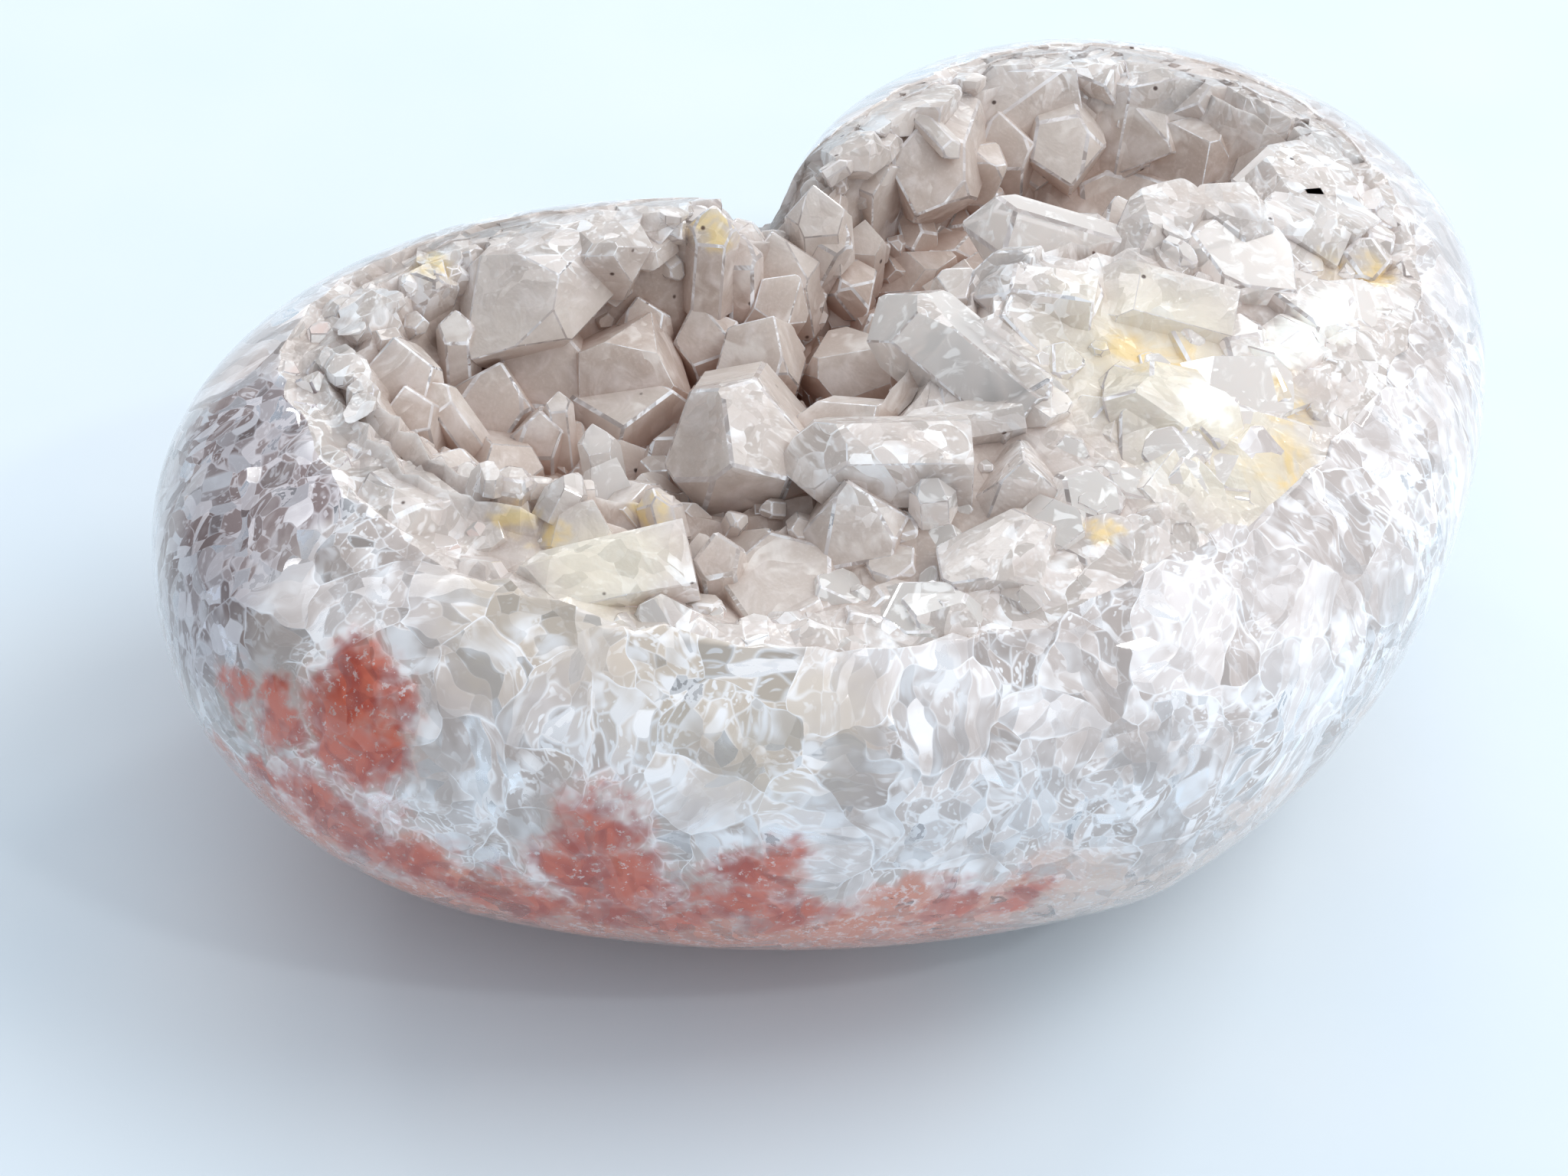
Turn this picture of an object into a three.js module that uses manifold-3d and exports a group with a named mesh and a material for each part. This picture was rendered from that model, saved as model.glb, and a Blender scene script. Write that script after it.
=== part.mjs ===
import * as THREE from 'three';
import Module from 'manifold-3d';
import { mergeVertices } from 'three/addons/utils/BufferGeometryUtils.js';

// Sizes in millimetres. +X runs across the two lobes, +Y towards the notch,
// -Y towards the blunt point, +Z up. The stone lies on its convex back.

// Heart outline seen from above: two lobe circles, a point circle,
// a flank arc on each side and a small hollow arc in the notch.
const LEFT_LOBE = { x: -21.75, y: 7.5, r: 23.5 };
const RIGHT_LOBE = { x: 22.25, y: 5.0, r: 23.0 };
const POINT = { x: -0.25, y: -23.5, r: 7.5 };
const LEFT_FLANK_RADIUS = 80;
const RIGHT_FLANK_RADIUS = 53;
const NOTCH_RADIUS = 4.5;

// Pillow profile of the polished skin
const BELLY_DEPTH = 22.75;
const CROWN_HEIGHT = 15.25;
const PILLOW_POWER = 2.5;
const NOTCH_FADE = 2;
const NOTCH_SPREAD = 40;
const FOOT_CUT = 0.45;
const SKIN_SEGMENTS = 62;
const SKIN_RINGS = 17;

// Stations round the hollow, anticlockwise from the notch.
// polish: where the polished skin stops; edge: lip of the deep trough;
// floor: foot of the trough wall; drop: shelf depth at the lip; deep: floor depth.
const STATIONS = [
  { polish: [1, 18], edge: [1, 16], floor: [-1, 9.5], drop: 1.0, deep: 13.0 },
  { polish: [-7, 19.5], edge: [-7, 17.5], floor: [-6, 10.5], drop: 1.0, deep: 13.5 },
  { polish: [-16, 24.5], edge: [-15, 22], floor: [-13, 11], drop: 0.8, deep: 13.0 },
  { polish: [-25, 26], edge: [-23.5, 23], floor: [-19, 13], drop: 0.8, deep: 12.0 },
  { polish: [-32, 21], edge: [-30, 19], floor: [-22.5, 13], drop: 1.0, deep: 11.0 },
  { polish: [-35, 12], edge: [-32, 11.5], floor: [-23.5, 10], drop: 1.0, deep: 11.0 },
  { polish: [-35.5, 3.5], edge: [-31, 4], floor: [-22, 7], drop: 1.2, deep: 11.5 },
  { polish: [-30.5, -6.5], edge: [-25, -1.5], floor: [-17, 4], drop: 3.2, deep: 12.0 },
  { polish: [-22, -15.5], edge: [-17.5, -6.5], floor: [-12, 2], drop: 5.5, deep: 12.0 },
  { polish: [-12, -21], edge: [-9.5, -7], floor: [-5.5, 2.5], drop: 4.2, deep: 12.5 },
  { polish: [0, -23.5], edge: [0, -3.5], floor: [1, 5.5], drop: 1.6, deep: 14.5 },
  { polish: [12, -21.5], edge: [9, -1], floor: [8, 6.5], drop: 0.9, deep: 16.0 },
  { polish: [24, -16.5], edge: [19, -3], floor: [16, 6], drop: 1.2, deep: 15.5 },
  { polish: [33, -9.5], edge: [29, -3.5], floor: [22, 4.5], drop: 1.2, deep: 13.0 },
  { polish: [38, 1], edge: [35.5, 2], floor: [24, 5.5], drop: 0.9, deep: 12.0 },
  { polish: [36.5, 12], edge: [34.5, 10.5], floor: [22.5, 8.5], drop: 0.7, deep: 13.0 },
  { polish: [29, 20], edge: [28, 18], floor: [17, 9.5], drop: 0.7, deep: 15.0 },
  { polish: [19, 21.5], edge: [18.5, 19.5], floor: [10.5, 10.5], drop: 0.7, deep: 16.0 },
  { polish: [9.5, 20], edge: [9.5, 18], floor: [5, 10.5], drop: 0.9, deep: 15.0 },
];
const SPLITS_PER_STATION = 2;
const POLISH_STEP = 0.55;
const SHELF_ROUGHNESS = 1.5;
const WALL_ROUGHNESS = 0.9;
const LID_HEIGHT = 50;

// Crystal crust that lines the trough
const CRUST_GAP = 0.4;
const CRUST_THICKNESS = 2.0;
const CRUST_LIP_THICKNESS = 0.5;
const CRUST_LIP = 0.6;
const CRYSTAL_SINK = 3.0;
const CRYSTAL_ROWS = [
  { t: 0.02, spacing: 6.2, least: 1.9, most: 2.7 },
  { t: 0.24, spacing: 7.4, least: 2.2, most: 3.4 },
  { t: 0.6, spacing: 7.2, least: 2.4, most: 3.9 },
  { t: 1.0, spacing: 11.0, least: 2.4, most: 3.9 },
];

// Single crystals that stand out in the trough: middle, aim, radius, length and tip height
const BIG_CRYSTALS = [
  { at: [-14.7, 20, 30.5], aim: [-0.15, -0.9, 0.4], r: 5.2, len: 6, tip: 2.6, spin: 0.3 },
  { at: [-20.9, 18.3, 28.5], aim: [0.1, -0.25, 0.95], r: 1.7, len: 8, tip: 2.0, spin: 0.5 },
  { at: [-17.3, 15.5, 28], aim: [-0.1, -0.55, 0.8], r: 3.8, len: 7, tip: 3.0, spin: 0.1 },
  { at: [-14.8, 8.8, 28.5], aim: [-0.1, -0.45, 0.9], r: 3.7, len: 9, tip: 3.2, spin: 0.8 },
  { at: [-11.5, 2.5, 29.5], aim: [-0.62, -0.6, 0.5], r: 4.1, len: 10, tip: 4.2, spin: 0.3 },
  { at: [-5.5, 9.5, 28.5], aim: [-0.3, -0.15, 0.9], r: 2.8, len: 8, tip: 3.4, spin: 0.6 },
  { at: [-1.5, 3.5, 30.5], aim: [-0.45, 0.0, 0.9], r: 3.6, len: 8, tip: 3.2, spin: 0.4 },
  { at: [2.5, 13.5, 29.5], aim: [-0.3, -0.6, 0.75], r: 2.8, len: 7, tip: 3.0, spin: 0.2 },
  { at: [11.4, 17, 31], aim: [-0.45, -0.75, 0.45], r: 4.2, len: 6, tip: 2.4, spin: 0.9 },
  { at: [22, 16.5, 31], aim: [-0.5, -0.7, 0.5], r: 3.2, len: 6, tip: 2.8, spin: 0.2 },
  { at: [26, 12.5, 29.5], aim: [-0.65, -0.5, 0.55], r: 4.6, len: 6, tip: 2.2, spin: 0.7 },
  { at: [31, 6, 30], aim: [-0.75, -0.2, 0.6], r: 4.4, len: 5, tip: 1.8, spin: 0.4 },
];

// Broken glassy crystals lying on the shelf, part of the main stone: tip, aim and sizes
const SHELF_CRYSTALS = [
  { at: [0.6, 3.2, 36.4], aim: [0.02, 0.86, 0.35], r: 3.0, len: 11, tip: 4.2, spin: 0.3 },
  { at: [8.2, 4.6, 36.4], aim: [-0.5, 0.75, 0.45], r: 2.6, len: 8, tip: 3.4, spin: 0.2 },
  { at: [15.4, 2.2, 36.2], aim: [-0.2, 0.8, 0.6], r: 2.0, len: 6, tip: 2.6, spin: 0.6 },
  { at: [-12, -3.2, 35.2], aim: [-0.68, 0.62, 0.42], r: 2.6, len: 10, tip: 5.0, spin: 0.1 },
  { at: [-22, -1.5, 36.0], aim: [0.25, 0.5, 0.85], r: 2.0, len: 6, tip: 3.0, spin: 0.9 },
  { at: [-27, -5.5, 34.4], aim: [-0.7, -0.2, 0.45], r: 3.0, len: 8, tip: 2.0, spin: 0.5 },
];
const SHELF_LUMPS = 24;
const LUMP_RADIUS = [2.3, 4.2];
const LUMP_LENGTH = [6, 10];

// Repeatable random numbers
function makeRandom(seed) {
  let state = seed;
  return () => {
    state = (state * 1664525 + 1013904223) % 4294967296;
    return state / 4294967296;
  };
}

// Outline helpers
const v2 = (x, y) => new THREE.Vector2(x, y);

function arcPoints(centre, radius, from, to) {
  const count = Math.max(6, Math.round(Math.abs(to - from) * radius / 0.8));
  const points = [];
  for (let i = 0; i < count; i += 1) {
    const a = from + (to - from) * i / count;
    points.push(v2(centre.x + radius * Math.cos(a), centre.y + radius * Math.sin(a)));
  }
  return points;
}

// Centre at distances r1 and r2 from two points, on the chosen side of the line joining them
function centreBetween(a, r1, b, r2, side) {
  const span = a.distanceTo(b);
  const along = b.clone().sub(a).divideScalar(span);
  const across = v2(-along.y, along.x);
  const run = (r1 * r1 - r2 * r2 + span * span) / (2 * span);
  const rise = Math.sqrt(r1 * r1 - run * run);
  return a.clone().addScaledVector(along, run).addScaledVector(across, rise * side);
}

const bearing = (from, to) => Math.atan2(to.y - from.y, to.x - from.x);
const after = (angle, start) => (angle < start ? angle + 2 * Math.PI : angle);
const before = (angle, start) => (angle > start ? angle - 2 * Math.PI : angle);

function heartOutline() {
  const left = v2(LEFT_LOBE.x, LEFT_LOBE.y);
  const right = v2(RIGHT_LOBE.x, RIGHT_LOBE.y);
  const point = v2(POINT.x, POINT.y);
  const rightFlank = centreBetween(
    point, RIGHT_FLANK_RADIUS - POINT.r, right, RIGHT_FLANK_RADIUS - RIGHT_LOBE.r, 1,
  );
  const leftFlank = centreBetween(
    point, LEFT_FLANK_RADIUS - POINT.r, left, LEFT_FLANK_RADIUS - LEFT_LOBE.r, -1,
  );
  const notch = centreBetween(left, LEFT_LOBE.r + NOTCH_RADIUS, right, RIGHT_LOBE.r + NOTCH_RADIUS, 1);
  const pointStart = bearing(leftFlank, point);
  const pointEnd = after(bearing(rightFlank, point), pointStart);
  const lobeStart = after(bearing(rightFlank, right), pointEnd);
  const rightEnd = after(bearing(right, notch), lobeStart);
  const notchStart = bearing(notch, right);
  const notchEnd = before(bearing(notch, left), notchStart);
  const leftStart = bearing(left, notch);
  const leftEnd = after(bearing(leftFlank, left), leftStart);
  const flankEnd = after(bearing(leftFlank, point), leftEnd);
  return [
    ...arcPoints(point, POINT.r, pointStart, pointEnd),
    ...arcPoints(rightFlank, RIGHT_FLANK_RADIUS, pointEnd, lobeStart),
    ...arcPoints(right, RIGHT_LOBE.r, lobeStart, rightEnd),
    ...arcPoints(notch, NOTCH_RADIUS, notchStart, notchEnd),
    ...arcPoints(left, LEFT_LOBE.r, leftStart, leftEnd),
    ...arcPoints(leftFlank, LEFT_FLANK_RADIUS, leftEnd, flankEnd),
  ];
}

// Evenly spaced points along a closed outline
function spaced(outline, count) {
  const lengths = [0];
  for (let i = 0; i < outline.length; i += 1) {
    lengths.push(lengths[i] + outline[i].distanceTo(outline[(i + 1) % outline.length]));
  }
  const total = lengths[outline.length];
  const points = [];
  let at = 0;
  for (let i = 0; i < count; i += 1) {
    const want = total * i / count;
    while (lengths[at + 1] < want) {
      at += 1;
    }
    const part = (want - lengths[at]) / (lengths[at + 1] - lengths[at]);
    points.push(outline[at].clone().lerp(outline[(at + 1) % outline.length], part));
  }
  return points;
}

// The outline with its notch smoothed away, used towards the crown and the belly
function softened(points, reach) {
  const count = points.length;
  return points.map((_, i) => {
    const sum = v2(0, 0);
    let weight = 0;
    for (let k = -reach; k <= reach; k += 1) {
      const w = 0.5 + 0.5 * Math.cos(Math.PI * k / reach);
      sum.addScaledVector(points[(i + k + 2 * count) % count], w);
      weight += w;
    }
    return sum.divideScalar(weight);
  });
}

const OUTLINE = spaced(heartOutline(), 252);
const SOFT_OUTLINE = softened(OUTLINE, NOTCH_SPREAD);

// Plan radius of the outline in a direction
function outlineRadius(angle) {
  let best = 0;
  for (let i = 0; i < OUTLINE.length; i += 1) {
    const a = OUTLINE[i];
    const b = OUTLINE[(i + 1) % OUTLINE.length];
    const dx = Math.cos(angle);
    const dy = Math.sin(angle);
    const sideA = dx * a.y - dy * a.x;
    const sideB = dx * b.y - dy * b.x;
    if (sideA * sideB <= 0 && sideA !== sideB) {
      const hit = a.clone().lerp(b, sideA / (sideA - sideB));
      best = Math.max(best, hit.x * dx + hit.y * dy);
    }
  }
  return best;
}

// Height of the polished crown over a plan position
function crownHeight(x, y) {
  const reach = Math.min(0.999, Math.hypot(x, y) / outlineRadius(Math.atan2(y, x)));
  const rise = (1 - reach ** PILLOW_POWER) ** (1 / PILLOW_POWER);
  return BELLY_DEPTH + CROWN_HEIGHT * rise;
}

// Closed surface from rings of equal length, with a pole point or a faced cap at each end
function ringSurface(rings, lowCap, highCap) {
  const size = rings[0].length;
  const positions = [];
  const index = [];
  for (const ring of rings) {
    for (const p of ring) {
      positions.push(p.x, p.y, p.z);
    }
  }
  for (let r = 0; r + 1 < rings.length; r += 1) {
    for (let i = 0; i < size; i += 1) {
      const a = r * size + i;
      const b = r * size + (i + 1) % size;
      index.push(a, b, b + size, a, b + size, a + size);
    }
  }
  const capRing = (cap, base, up) => {
    if (Array.isArray(cap)) {
      for (const [a, b, c] of cap) {
        index.push(base + a, base + (up ? b : c), base + (up ? c : b));
      }
    } else {
      const pole = positions.length / 3;
      positions.push(cap.x, cap.y, cap.z);
      for (let i = 0; i < size; i += 1) {
        const a = base + i;
        const b = base + (i + 1) % size;
        index.push(pole, up ? a : b, up ? b : a);
      }
    }
  };
  capRing(lowCap, 0, false);
  capRing(highCap, (rings.length - 1) * size, true);
  const geometry = new THREE.BufferGeometry();
  geometry.setAttribute('position', new THREE.Float32BufferAttribute(positions, 3));
  geometry.setIndex(index);
  return geometry;
}

// Polished pillow-shaped skin of the whole heart
function polishedSkin(shift) {
  const rings = [];
  const outer = spaced(OUTLINE, SKIN_SEGMENTS);
  const step = OUTLINE.length / SKIN_SEGMENTS;
  for (let k = 1; k < SKIN_RINGS; k += 1) {
    const phi = -Math.PI / 2 + Math.PI * k / SKIN_RINGS;
    const reach = Math.abs(Math.cos(phi)) ** (2 / PILLOW_POWER);
    const rise = Math.sign(Math.sin(phi)) * Math.abs(Math.sin(phi)) ** (2 / PILLOW_POWER);
    const blend = reach ** NOTCH_FADE;
    const z = BELLY_DEPTH + rise * (rise > 0 ? CROWN_HEIGHT : BELLY_DEPTH) + shift;
    rings.push(outer.map((p, i) => {
      const soft = SOFT_OUTLINE[Math.round(i * step) % SOFT_OUTLINE.length];
      const q = p.clone().multiplyScalar(blend).addScaledVector(soft, 1 - blend);
      return new THREE.Vector3(q.x * reach, q.y * reach, z);
    }));
  }
  const low = new THREE.Vector3(0, 0, shift);
  const high = new THREE.Vector3(0, 0, BELLY_DEPTH + CROWN_HEIGHT + shift);
  return ringSurface(rings, low, high);
}

// Stations split finer, each with its own small irregularities
function fineStations() {
  const random = makeRandom(11);
  const count = STATIONS.length;
  const mix = (a, b, t) => [a[0] + (b[0] - a[0]) * t, a[1] + (b[1] - a[1]) * t];
  const list = [];
  for (let i = 0; i < count; i += 1) {
    const a = STATIONS[i];
    const b = STATIONS[(i + 1) % count];
    for (let k = 0; k < SPLITS_PER_STATION; k += 1) {
      const t = k / SPLITS_PER_STATION;
      const wobble = () => (random() - 0.5) * 2;
      const lip = mix(a.edge, b.edge, t);
      list.push({
        polish: mix(a.polish, b.polish, t).map((v) => v + wobble() * 0.5),
        edge: lip.map((v) => v + wobble() * 0.7),
        floor: mix(a.floor, b.floor, t),
        drop: a.drop + (b.drop - a.drop) * t + (random() - 0.5) * SHELF_ROUGHNESS,
        deep: a.deep + (b.deep - a.deep) * t + (random() - 0.5) * WALL_ROUGHNESS,
        wobble: [wobble(), wobble(), wobble(), wobble(), wobble()],
      });
    }
  }
  return list;
}

// Point between lip and floor of the trough; t is 0 at the lip and 1 at the floor
function wallPoint(station, t, gap, rough) {
  const [ex, ey] = station.edge;
  const [fx, fy] = station.floor;
  const run = Math.hypot(fx - ex, fy - ey);
  const inset = gap / run;
  const s = inset + (1 - inset) * t * 0.92;
  const x = ex + (fx - ex) * s;
  const y = ey + (fy - ey) * s;
  const top = crownHeight(ex, ey) - station.drop;
  const low = crownHeight(fx, fy) - station.deep;
  const fall = Math.sin(Math.min(1, t) * Math.PI / 2) ** 1.15;
  return new THREE.Vector3(x, y, top + (low - top) * fall + gap + rough);
}

// Faces that fill a ring given in plan
function capFaces(ring) {
  return THREE.ShapeUtils.triangulateShape(ring.map(([x, y]) => v2(x, y)), []);
}

// Tool that cuts the trough; with the shelf it also clears the broken top of the near side
function hollowTool(stations, gap, lining, withShelf) {
  const rows = [1, 0.76, 0.46, 0.2, 0.0];
  const rings = rows.map((t, k) => stations.map((s) => {
    const rough = s.wobble[k % 5] * WALL_ROUGHNESS * (t > 0 && t < 1 ? 0.6 : 0.2);
    return wallPoint(s, t, gap + lining * Math.min(1, t / 0.4), rough);
  }));
  if (withShelf) {
    for (const [part, k] of [[0.38, 1], [0.72, 3]]) {
      rings.push(stations.map((s) => {
        const x = s.edge[0] + (s.polish[0] - s.edge[0]) * part;
        const y = s.edge[1] + (s.polish[1] - s.edge[1]) * part;
        const span = Math.hypot(s.polish[0] - s.edge[0], s.polish[1] - s.edge[1]);
        const rough = s.wobble[k] * Math.min(1, span / 9) * SHELF_ROUGHNESS;
        const drop = s.drop + (POLISH_STEP - s.drop) * part;
        return new THREE.Vector3(x, y, crownHeight(x, y) - drop + rough * 0.8);
      }));
    }
    rings.push(stations.map((s) => {
      const [x, y] = s.polish;
      return new THREE.Vector3(x, y, crownHeight(x, y) - POLISH_STEP);
    }));
  }
  const top = rings[rings.length - 1];
  const flare = withShelf ? 1.08 : 1.0;
  rings.push(top.map((p) => new THREE.Vector3(p.x * flare, p.y * flare, LID_HEIGHT)));
  const floor = capFaces(stations.map((s) => s.floor));
  const lid = capFaces(stations.map((s) => (withShelf ? s.polish : s.edge)));
  return ringSurface(rings, floor, lid);
}

// Six-sided crystal with a slightly lopsided pyramid end; hold is the share of its length below 'at'
function crystal({ at, aim, r, len, tip, spin, lean = 0.25 }, hold) {
  const profile = [
    v2(0, -CRYSTAL_SINK),
    v2(r * 0.94, -CRYSTAL_SINK),
    v2(r, len - tip),
    v2(0, len),
  ];
  const geometry = new THREE.LatheGeometry(profile, 6, spin * Math.PI / 3);
  const position = geometry.attributes.position;
  for (let i = 0; i < position.count; i += 1) {
    const height = position.getY(i) - (len - tip);
    if (height > 0) {
      position.setX(i, position.getX(i) + height * lean);
      position.setZ(i, position.getZ(i) - height * lean * 0.6);
    }
  }
  const up = new THREE.Vector3(0, 1, 0);
  const direction = new THREE.Vector3(...aim).normalize();
  geometry.applyQuaternion(new THREE.Quaternion().setFromUnitVectors(up, direction));
  const foot = new THREE.Vector3(...at).addScaledVector(direction, -len * hold);
  geometry.translate(foot.x, foot.y, foot.z);
  return geometry;
}

// Crystals seeded along the trough wall and over its floor
function liningCrystals(stations) {
  const random = makeRandom(29);
  const list = [];
  for (const { t: row, spacing, least, most } of CRYSTAL_ROWS) {
    let travelled = spacing;
    for (let i = 0; i < stations.length; i += 1) {
      const lining = CRUST_THICKNESS * Math.min(1, 0.3 + row * 2);
      const here = wallPoint(stations[i], row, CRUST_GAP + lining, 0);
      const next = wallPoint(stations[(i + 1) % stations.length], row, CRUST_GAP, 0);
      travelled += here.distanceTo(next);
      if (travelled > spacing) {
        travelled = 0;
        const [ex, ey] = stations[i].edge;
        const [fx, fy] = stations[i].floor;
        const run = Math.hypot(fx - ex, fy - ey);
        const inward = row < 1 ? 0.95 - 0.55 * row : 0.15;
        const aim = [
          (fx - ex) / run * inward + (random() - 0.5) * 0.5,
          (fy - ey) / run * inward + (random() - 0.5) * 0.5,
          row < 0.2 ? 0.15 + 0.4 * random() : 0.5 + 0.6 * row,
        ];
        const r = least + random() * (most - least);
        const len = r * (1.0 + random() * 0.6);
        const lift = aim[2] / Math.hypot(...aim);
        const room = r * Math.sqrt(1 - lift * lift) * 0.75 + len * lift + CRUST_LIP;
        list.push({
          at: [here.x, here.y, Math.min(here.z, crownHeight(here.x, here.y) - room)],
          aim,
          r,
          len,
          tip: r * (0.65 + random() * 0.35),
          spin: random(),
          lean: (random() - 0.5) * 0.7,
        });
      }
    }
  }
  return list;
}

// Low broken lumps scattered over the shelf
function shelfLumps(stations) {
  const random = makeRandom(53);
  const width = (s) => Math.hypot(s.polish[0] - s.edge[0], s.polish[1] - s.edge[1]);
  const wide = stations.filter((s) => width(s) > 5);
  const total = wide.reduce((sum, s) => sum + width(s), 0);
  const list = [];
  for (let i = 0; i < SHELF_LUMPS; i += 1) {
    let mark = total * (i + random() * 0.8) / SHELF_LUMPS;
    const s = wide.find((station) => {
      mark -= width(station);
      return mark <= 0;
    }) || wide[0];
    const part = 0.06 + 0.88 * ((i * 0.618) % 1);
    const x = s.edge[0] + (s.polish[0] - s.edge[0]) * part;
    const y = s.edge[1] + (s.polish[1] - s.edge[1]) * part;
    const r = LUMP_RADIUS[0] + random() * (LUMP_RADIUS[1] - LUMP_RADIUS[0]);
    const heading = random() * 2 * Math.PI;
    list.push({
      at: [x, y, crownHeight(x, y) - 0.2 - random() * 1.1],
      aim: [Math.cos(heading), Math.sin(heading), 0.35 + random() * 0.6],
      r,
      len: LUMP_LENGTH[0] + random() * (LUMP_LENGTH[1] - LUMP_LENGTH[0]),
      tip: r * (0.5 + random() * 0.6),
      spin: random(),
      lean: random() - 0.5,
    });
  }
  return list;
}

// Geometry to closed solid and back
const wasm = await Module();
wasm.setup();

function toSolid(geometry) {
  const plain = geometry.clone();
  plain.deleteAttribute('normal');
  plain.deleteAttribute('uv');
  const merged = mergeVertices(plain, 1e-4);
  const solid = new wasm.Manifold(new wasm.Mesh({
    numProp: 3,
    vertProperties: new Float32Array(merged.attributes.position.array),
    triVerts: new Uint32Array(merged.index.array),
  }));
  return solid;
}

function toGeometry(solid) {
  const mesh = solid.getMesh();
  const geometry = new THREE.BufferGeometry();
  geometry.setAttribute('position', new THREE.BufferAttribute(mesh.vertProperties, 3));
  geometry.setIndex(new THREE.BufferAttribute(mesh.triVerts, 1));
  return geometry;
}

const united = (list) => list.reduce((sum, solid) => sum.add(solid));

// Only the body with the most faces is kept, loose chips are dropped
function largestBody(geometry) {
  const index = geometry.index.array;
  const root = Array.from({ length: geometry.attributes.position.count }, (_, i) => i);
  const find = (i) => {
    let at = i;
    while (root[at] !== at) {
      root[at] = root[root[at]];
      at = root[at];
    }
    return at;
  };
  for (let i = 0; i < index.length; i += 3) {
    root[find(index[i + 1])] = find(index[i]);
    root[find(index[i + 2])] = find(index[i]);
  }
  const faces = new Map();
  for (let i = 0; i < index.length; i += 3) {
    const body = find(index[i]);
    if (!faces.has(body)) {
      faces.set(body, []);
    }
    faces.get(body).push(index[i], index[i + 1], index[i + 2]);
  }
  const kept = [...faces.values()].reduce((best, list) => (list.length > best.length ? list : best));
  geometry.setIndex(kept);
  return geometry;
}

// Finishes
function quartzFinish() {
  return new THREE.MeshStandardMaterial({ color: '#e3dcdb', roughness: 0.12, metalness: 0 });
}

function druseFinish() {
  return new THREE.MeshStandardMaterial({ color: '#d8c8c2', roughness: 0.3, metalness: 0 });
}

// Main stone: polished skin with the foot flattened, the hollow cut and broken crystals joined on
function stoneBody(stations) {
  const skin = toSolid(polishedSkin(0));
  const clear = toSolid(hollowTool(stations, 0, 0, true));
  const inner = toSolid(hollowTool(stations, 0, 0, false));
  const lumps = [...SHELF_CRYSTALS, ...shelfLumps(stations)].map((c) => toSolid(crystal(c, 1)));
  const onShelf = united(lumps).subtract(inner).intersect(toSolid(polishedSkin(-0.15)));
  const floor = new THREE.BoxGeometry(200, 200, 100);
  floor.translate(0, 0, 50 + FOOT_CUT);
  return skin.subtract(clear).add(onShelf).intersect(toSolid(floor));
}

// Crust: a thin lining of the trough with crystals grown on it, one closed body
function crystalCrust(stations) {
  const outside = toSolid(hollowTool(stations, CRUST_GAP, 0, false));
  const lip = CRUST_GAP + CRUST_LIP_THICKNESS;
  const inside = toSolid(hollowTool(stations, lip, CRUST_THICKNESS - CRUST_LIP_THICKNESS, false));
  const lid = toSolid(polishedSkin(-CRUST_LIP));
  const big = BIG_CRYSTALS.map((c) => toSolid(crystal(c, 0.6)));
  const small = liningCrystals(stations).map((c) => toSolid(crystal(c, 0)));
  const grown = united([outside.subtract(inside), ...big, ...small]);
  return grown.intersect(outside).intersect(lid);
}

// Both nodes stand with the flattened foot on the zero plane
function namedMesh(name, solid, material) {
  const geometry = largestBody(toGeometry(solid)).toNonIndexed();
  geometry.computeVertexNormals();
  const mesh = new THREE.Mesh(geometry, material);
  mesh.name = name;
  mesh.position.z = -FOOT_CUT;
  return mesh;
}

const stations = fineStations();
const heart = new THREE.Group();
heart.add(namedMesh('polished_stone', stoneBody(stations), quartzFinish()));
heart.add(namedMesh('crystal_crust', crystalCrust(stations), druseFinish()));

export default heart;
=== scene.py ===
"""Looks of a polished quartz heart with a crystal-lined hollow, lit and seen as in the photograph.

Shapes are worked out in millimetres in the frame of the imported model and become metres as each
mesh is made. The heart lies on its convex back: +X runs across the lobes, +Y towards the notch.
"""

import logging
import math
from collections.abc import Callable, Iterable, Sequence
from dataclasses import dataclass, field, replace
from enum import Enum
from itertools import combinations
from typing import NamedTuple

import bmesh
import bpy
import numpy as np
from mathutils import Matrix, Vector
from mathutils import noise as field_noise
from mathutils.bvhtree import BVHTree


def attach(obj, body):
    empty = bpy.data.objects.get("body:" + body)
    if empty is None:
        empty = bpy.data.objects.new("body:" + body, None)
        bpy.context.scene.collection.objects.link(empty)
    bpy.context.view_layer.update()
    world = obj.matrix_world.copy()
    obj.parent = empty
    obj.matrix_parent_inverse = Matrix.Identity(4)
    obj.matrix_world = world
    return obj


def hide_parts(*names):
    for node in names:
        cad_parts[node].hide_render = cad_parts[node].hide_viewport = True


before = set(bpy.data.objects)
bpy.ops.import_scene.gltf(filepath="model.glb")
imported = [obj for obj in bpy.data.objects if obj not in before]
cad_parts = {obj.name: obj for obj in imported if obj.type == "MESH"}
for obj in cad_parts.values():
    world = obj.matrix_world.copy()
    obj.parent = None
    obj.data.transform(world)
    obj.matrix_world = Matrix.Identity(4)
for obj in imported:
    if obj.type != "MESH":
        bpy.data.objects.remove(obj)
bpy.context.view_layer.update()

LOG = logging.getLogger("heart")
MM = 0.001
NOISE_SEED = 12

Socket = bpy.types.NodeSocket
Pixel = tuple[float, float]
Triple = tuple[float, float, float]
Number = float | Socket
Place = Triple | Socket


class Cut(Enum):
    """Ways of combining two closed solids."""

    JOIN = "UNION"
    REMOVE = "DIFFERENCE"
    KEEP_INSIDE = "INTERSECT"


class Grain(Enum):
    """Kinds of surface on the stone, in the order of the material slots."""

    POLISHED = 0
    SATIN = 1
    CLEAR = 2


# Picture and camera


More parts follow.
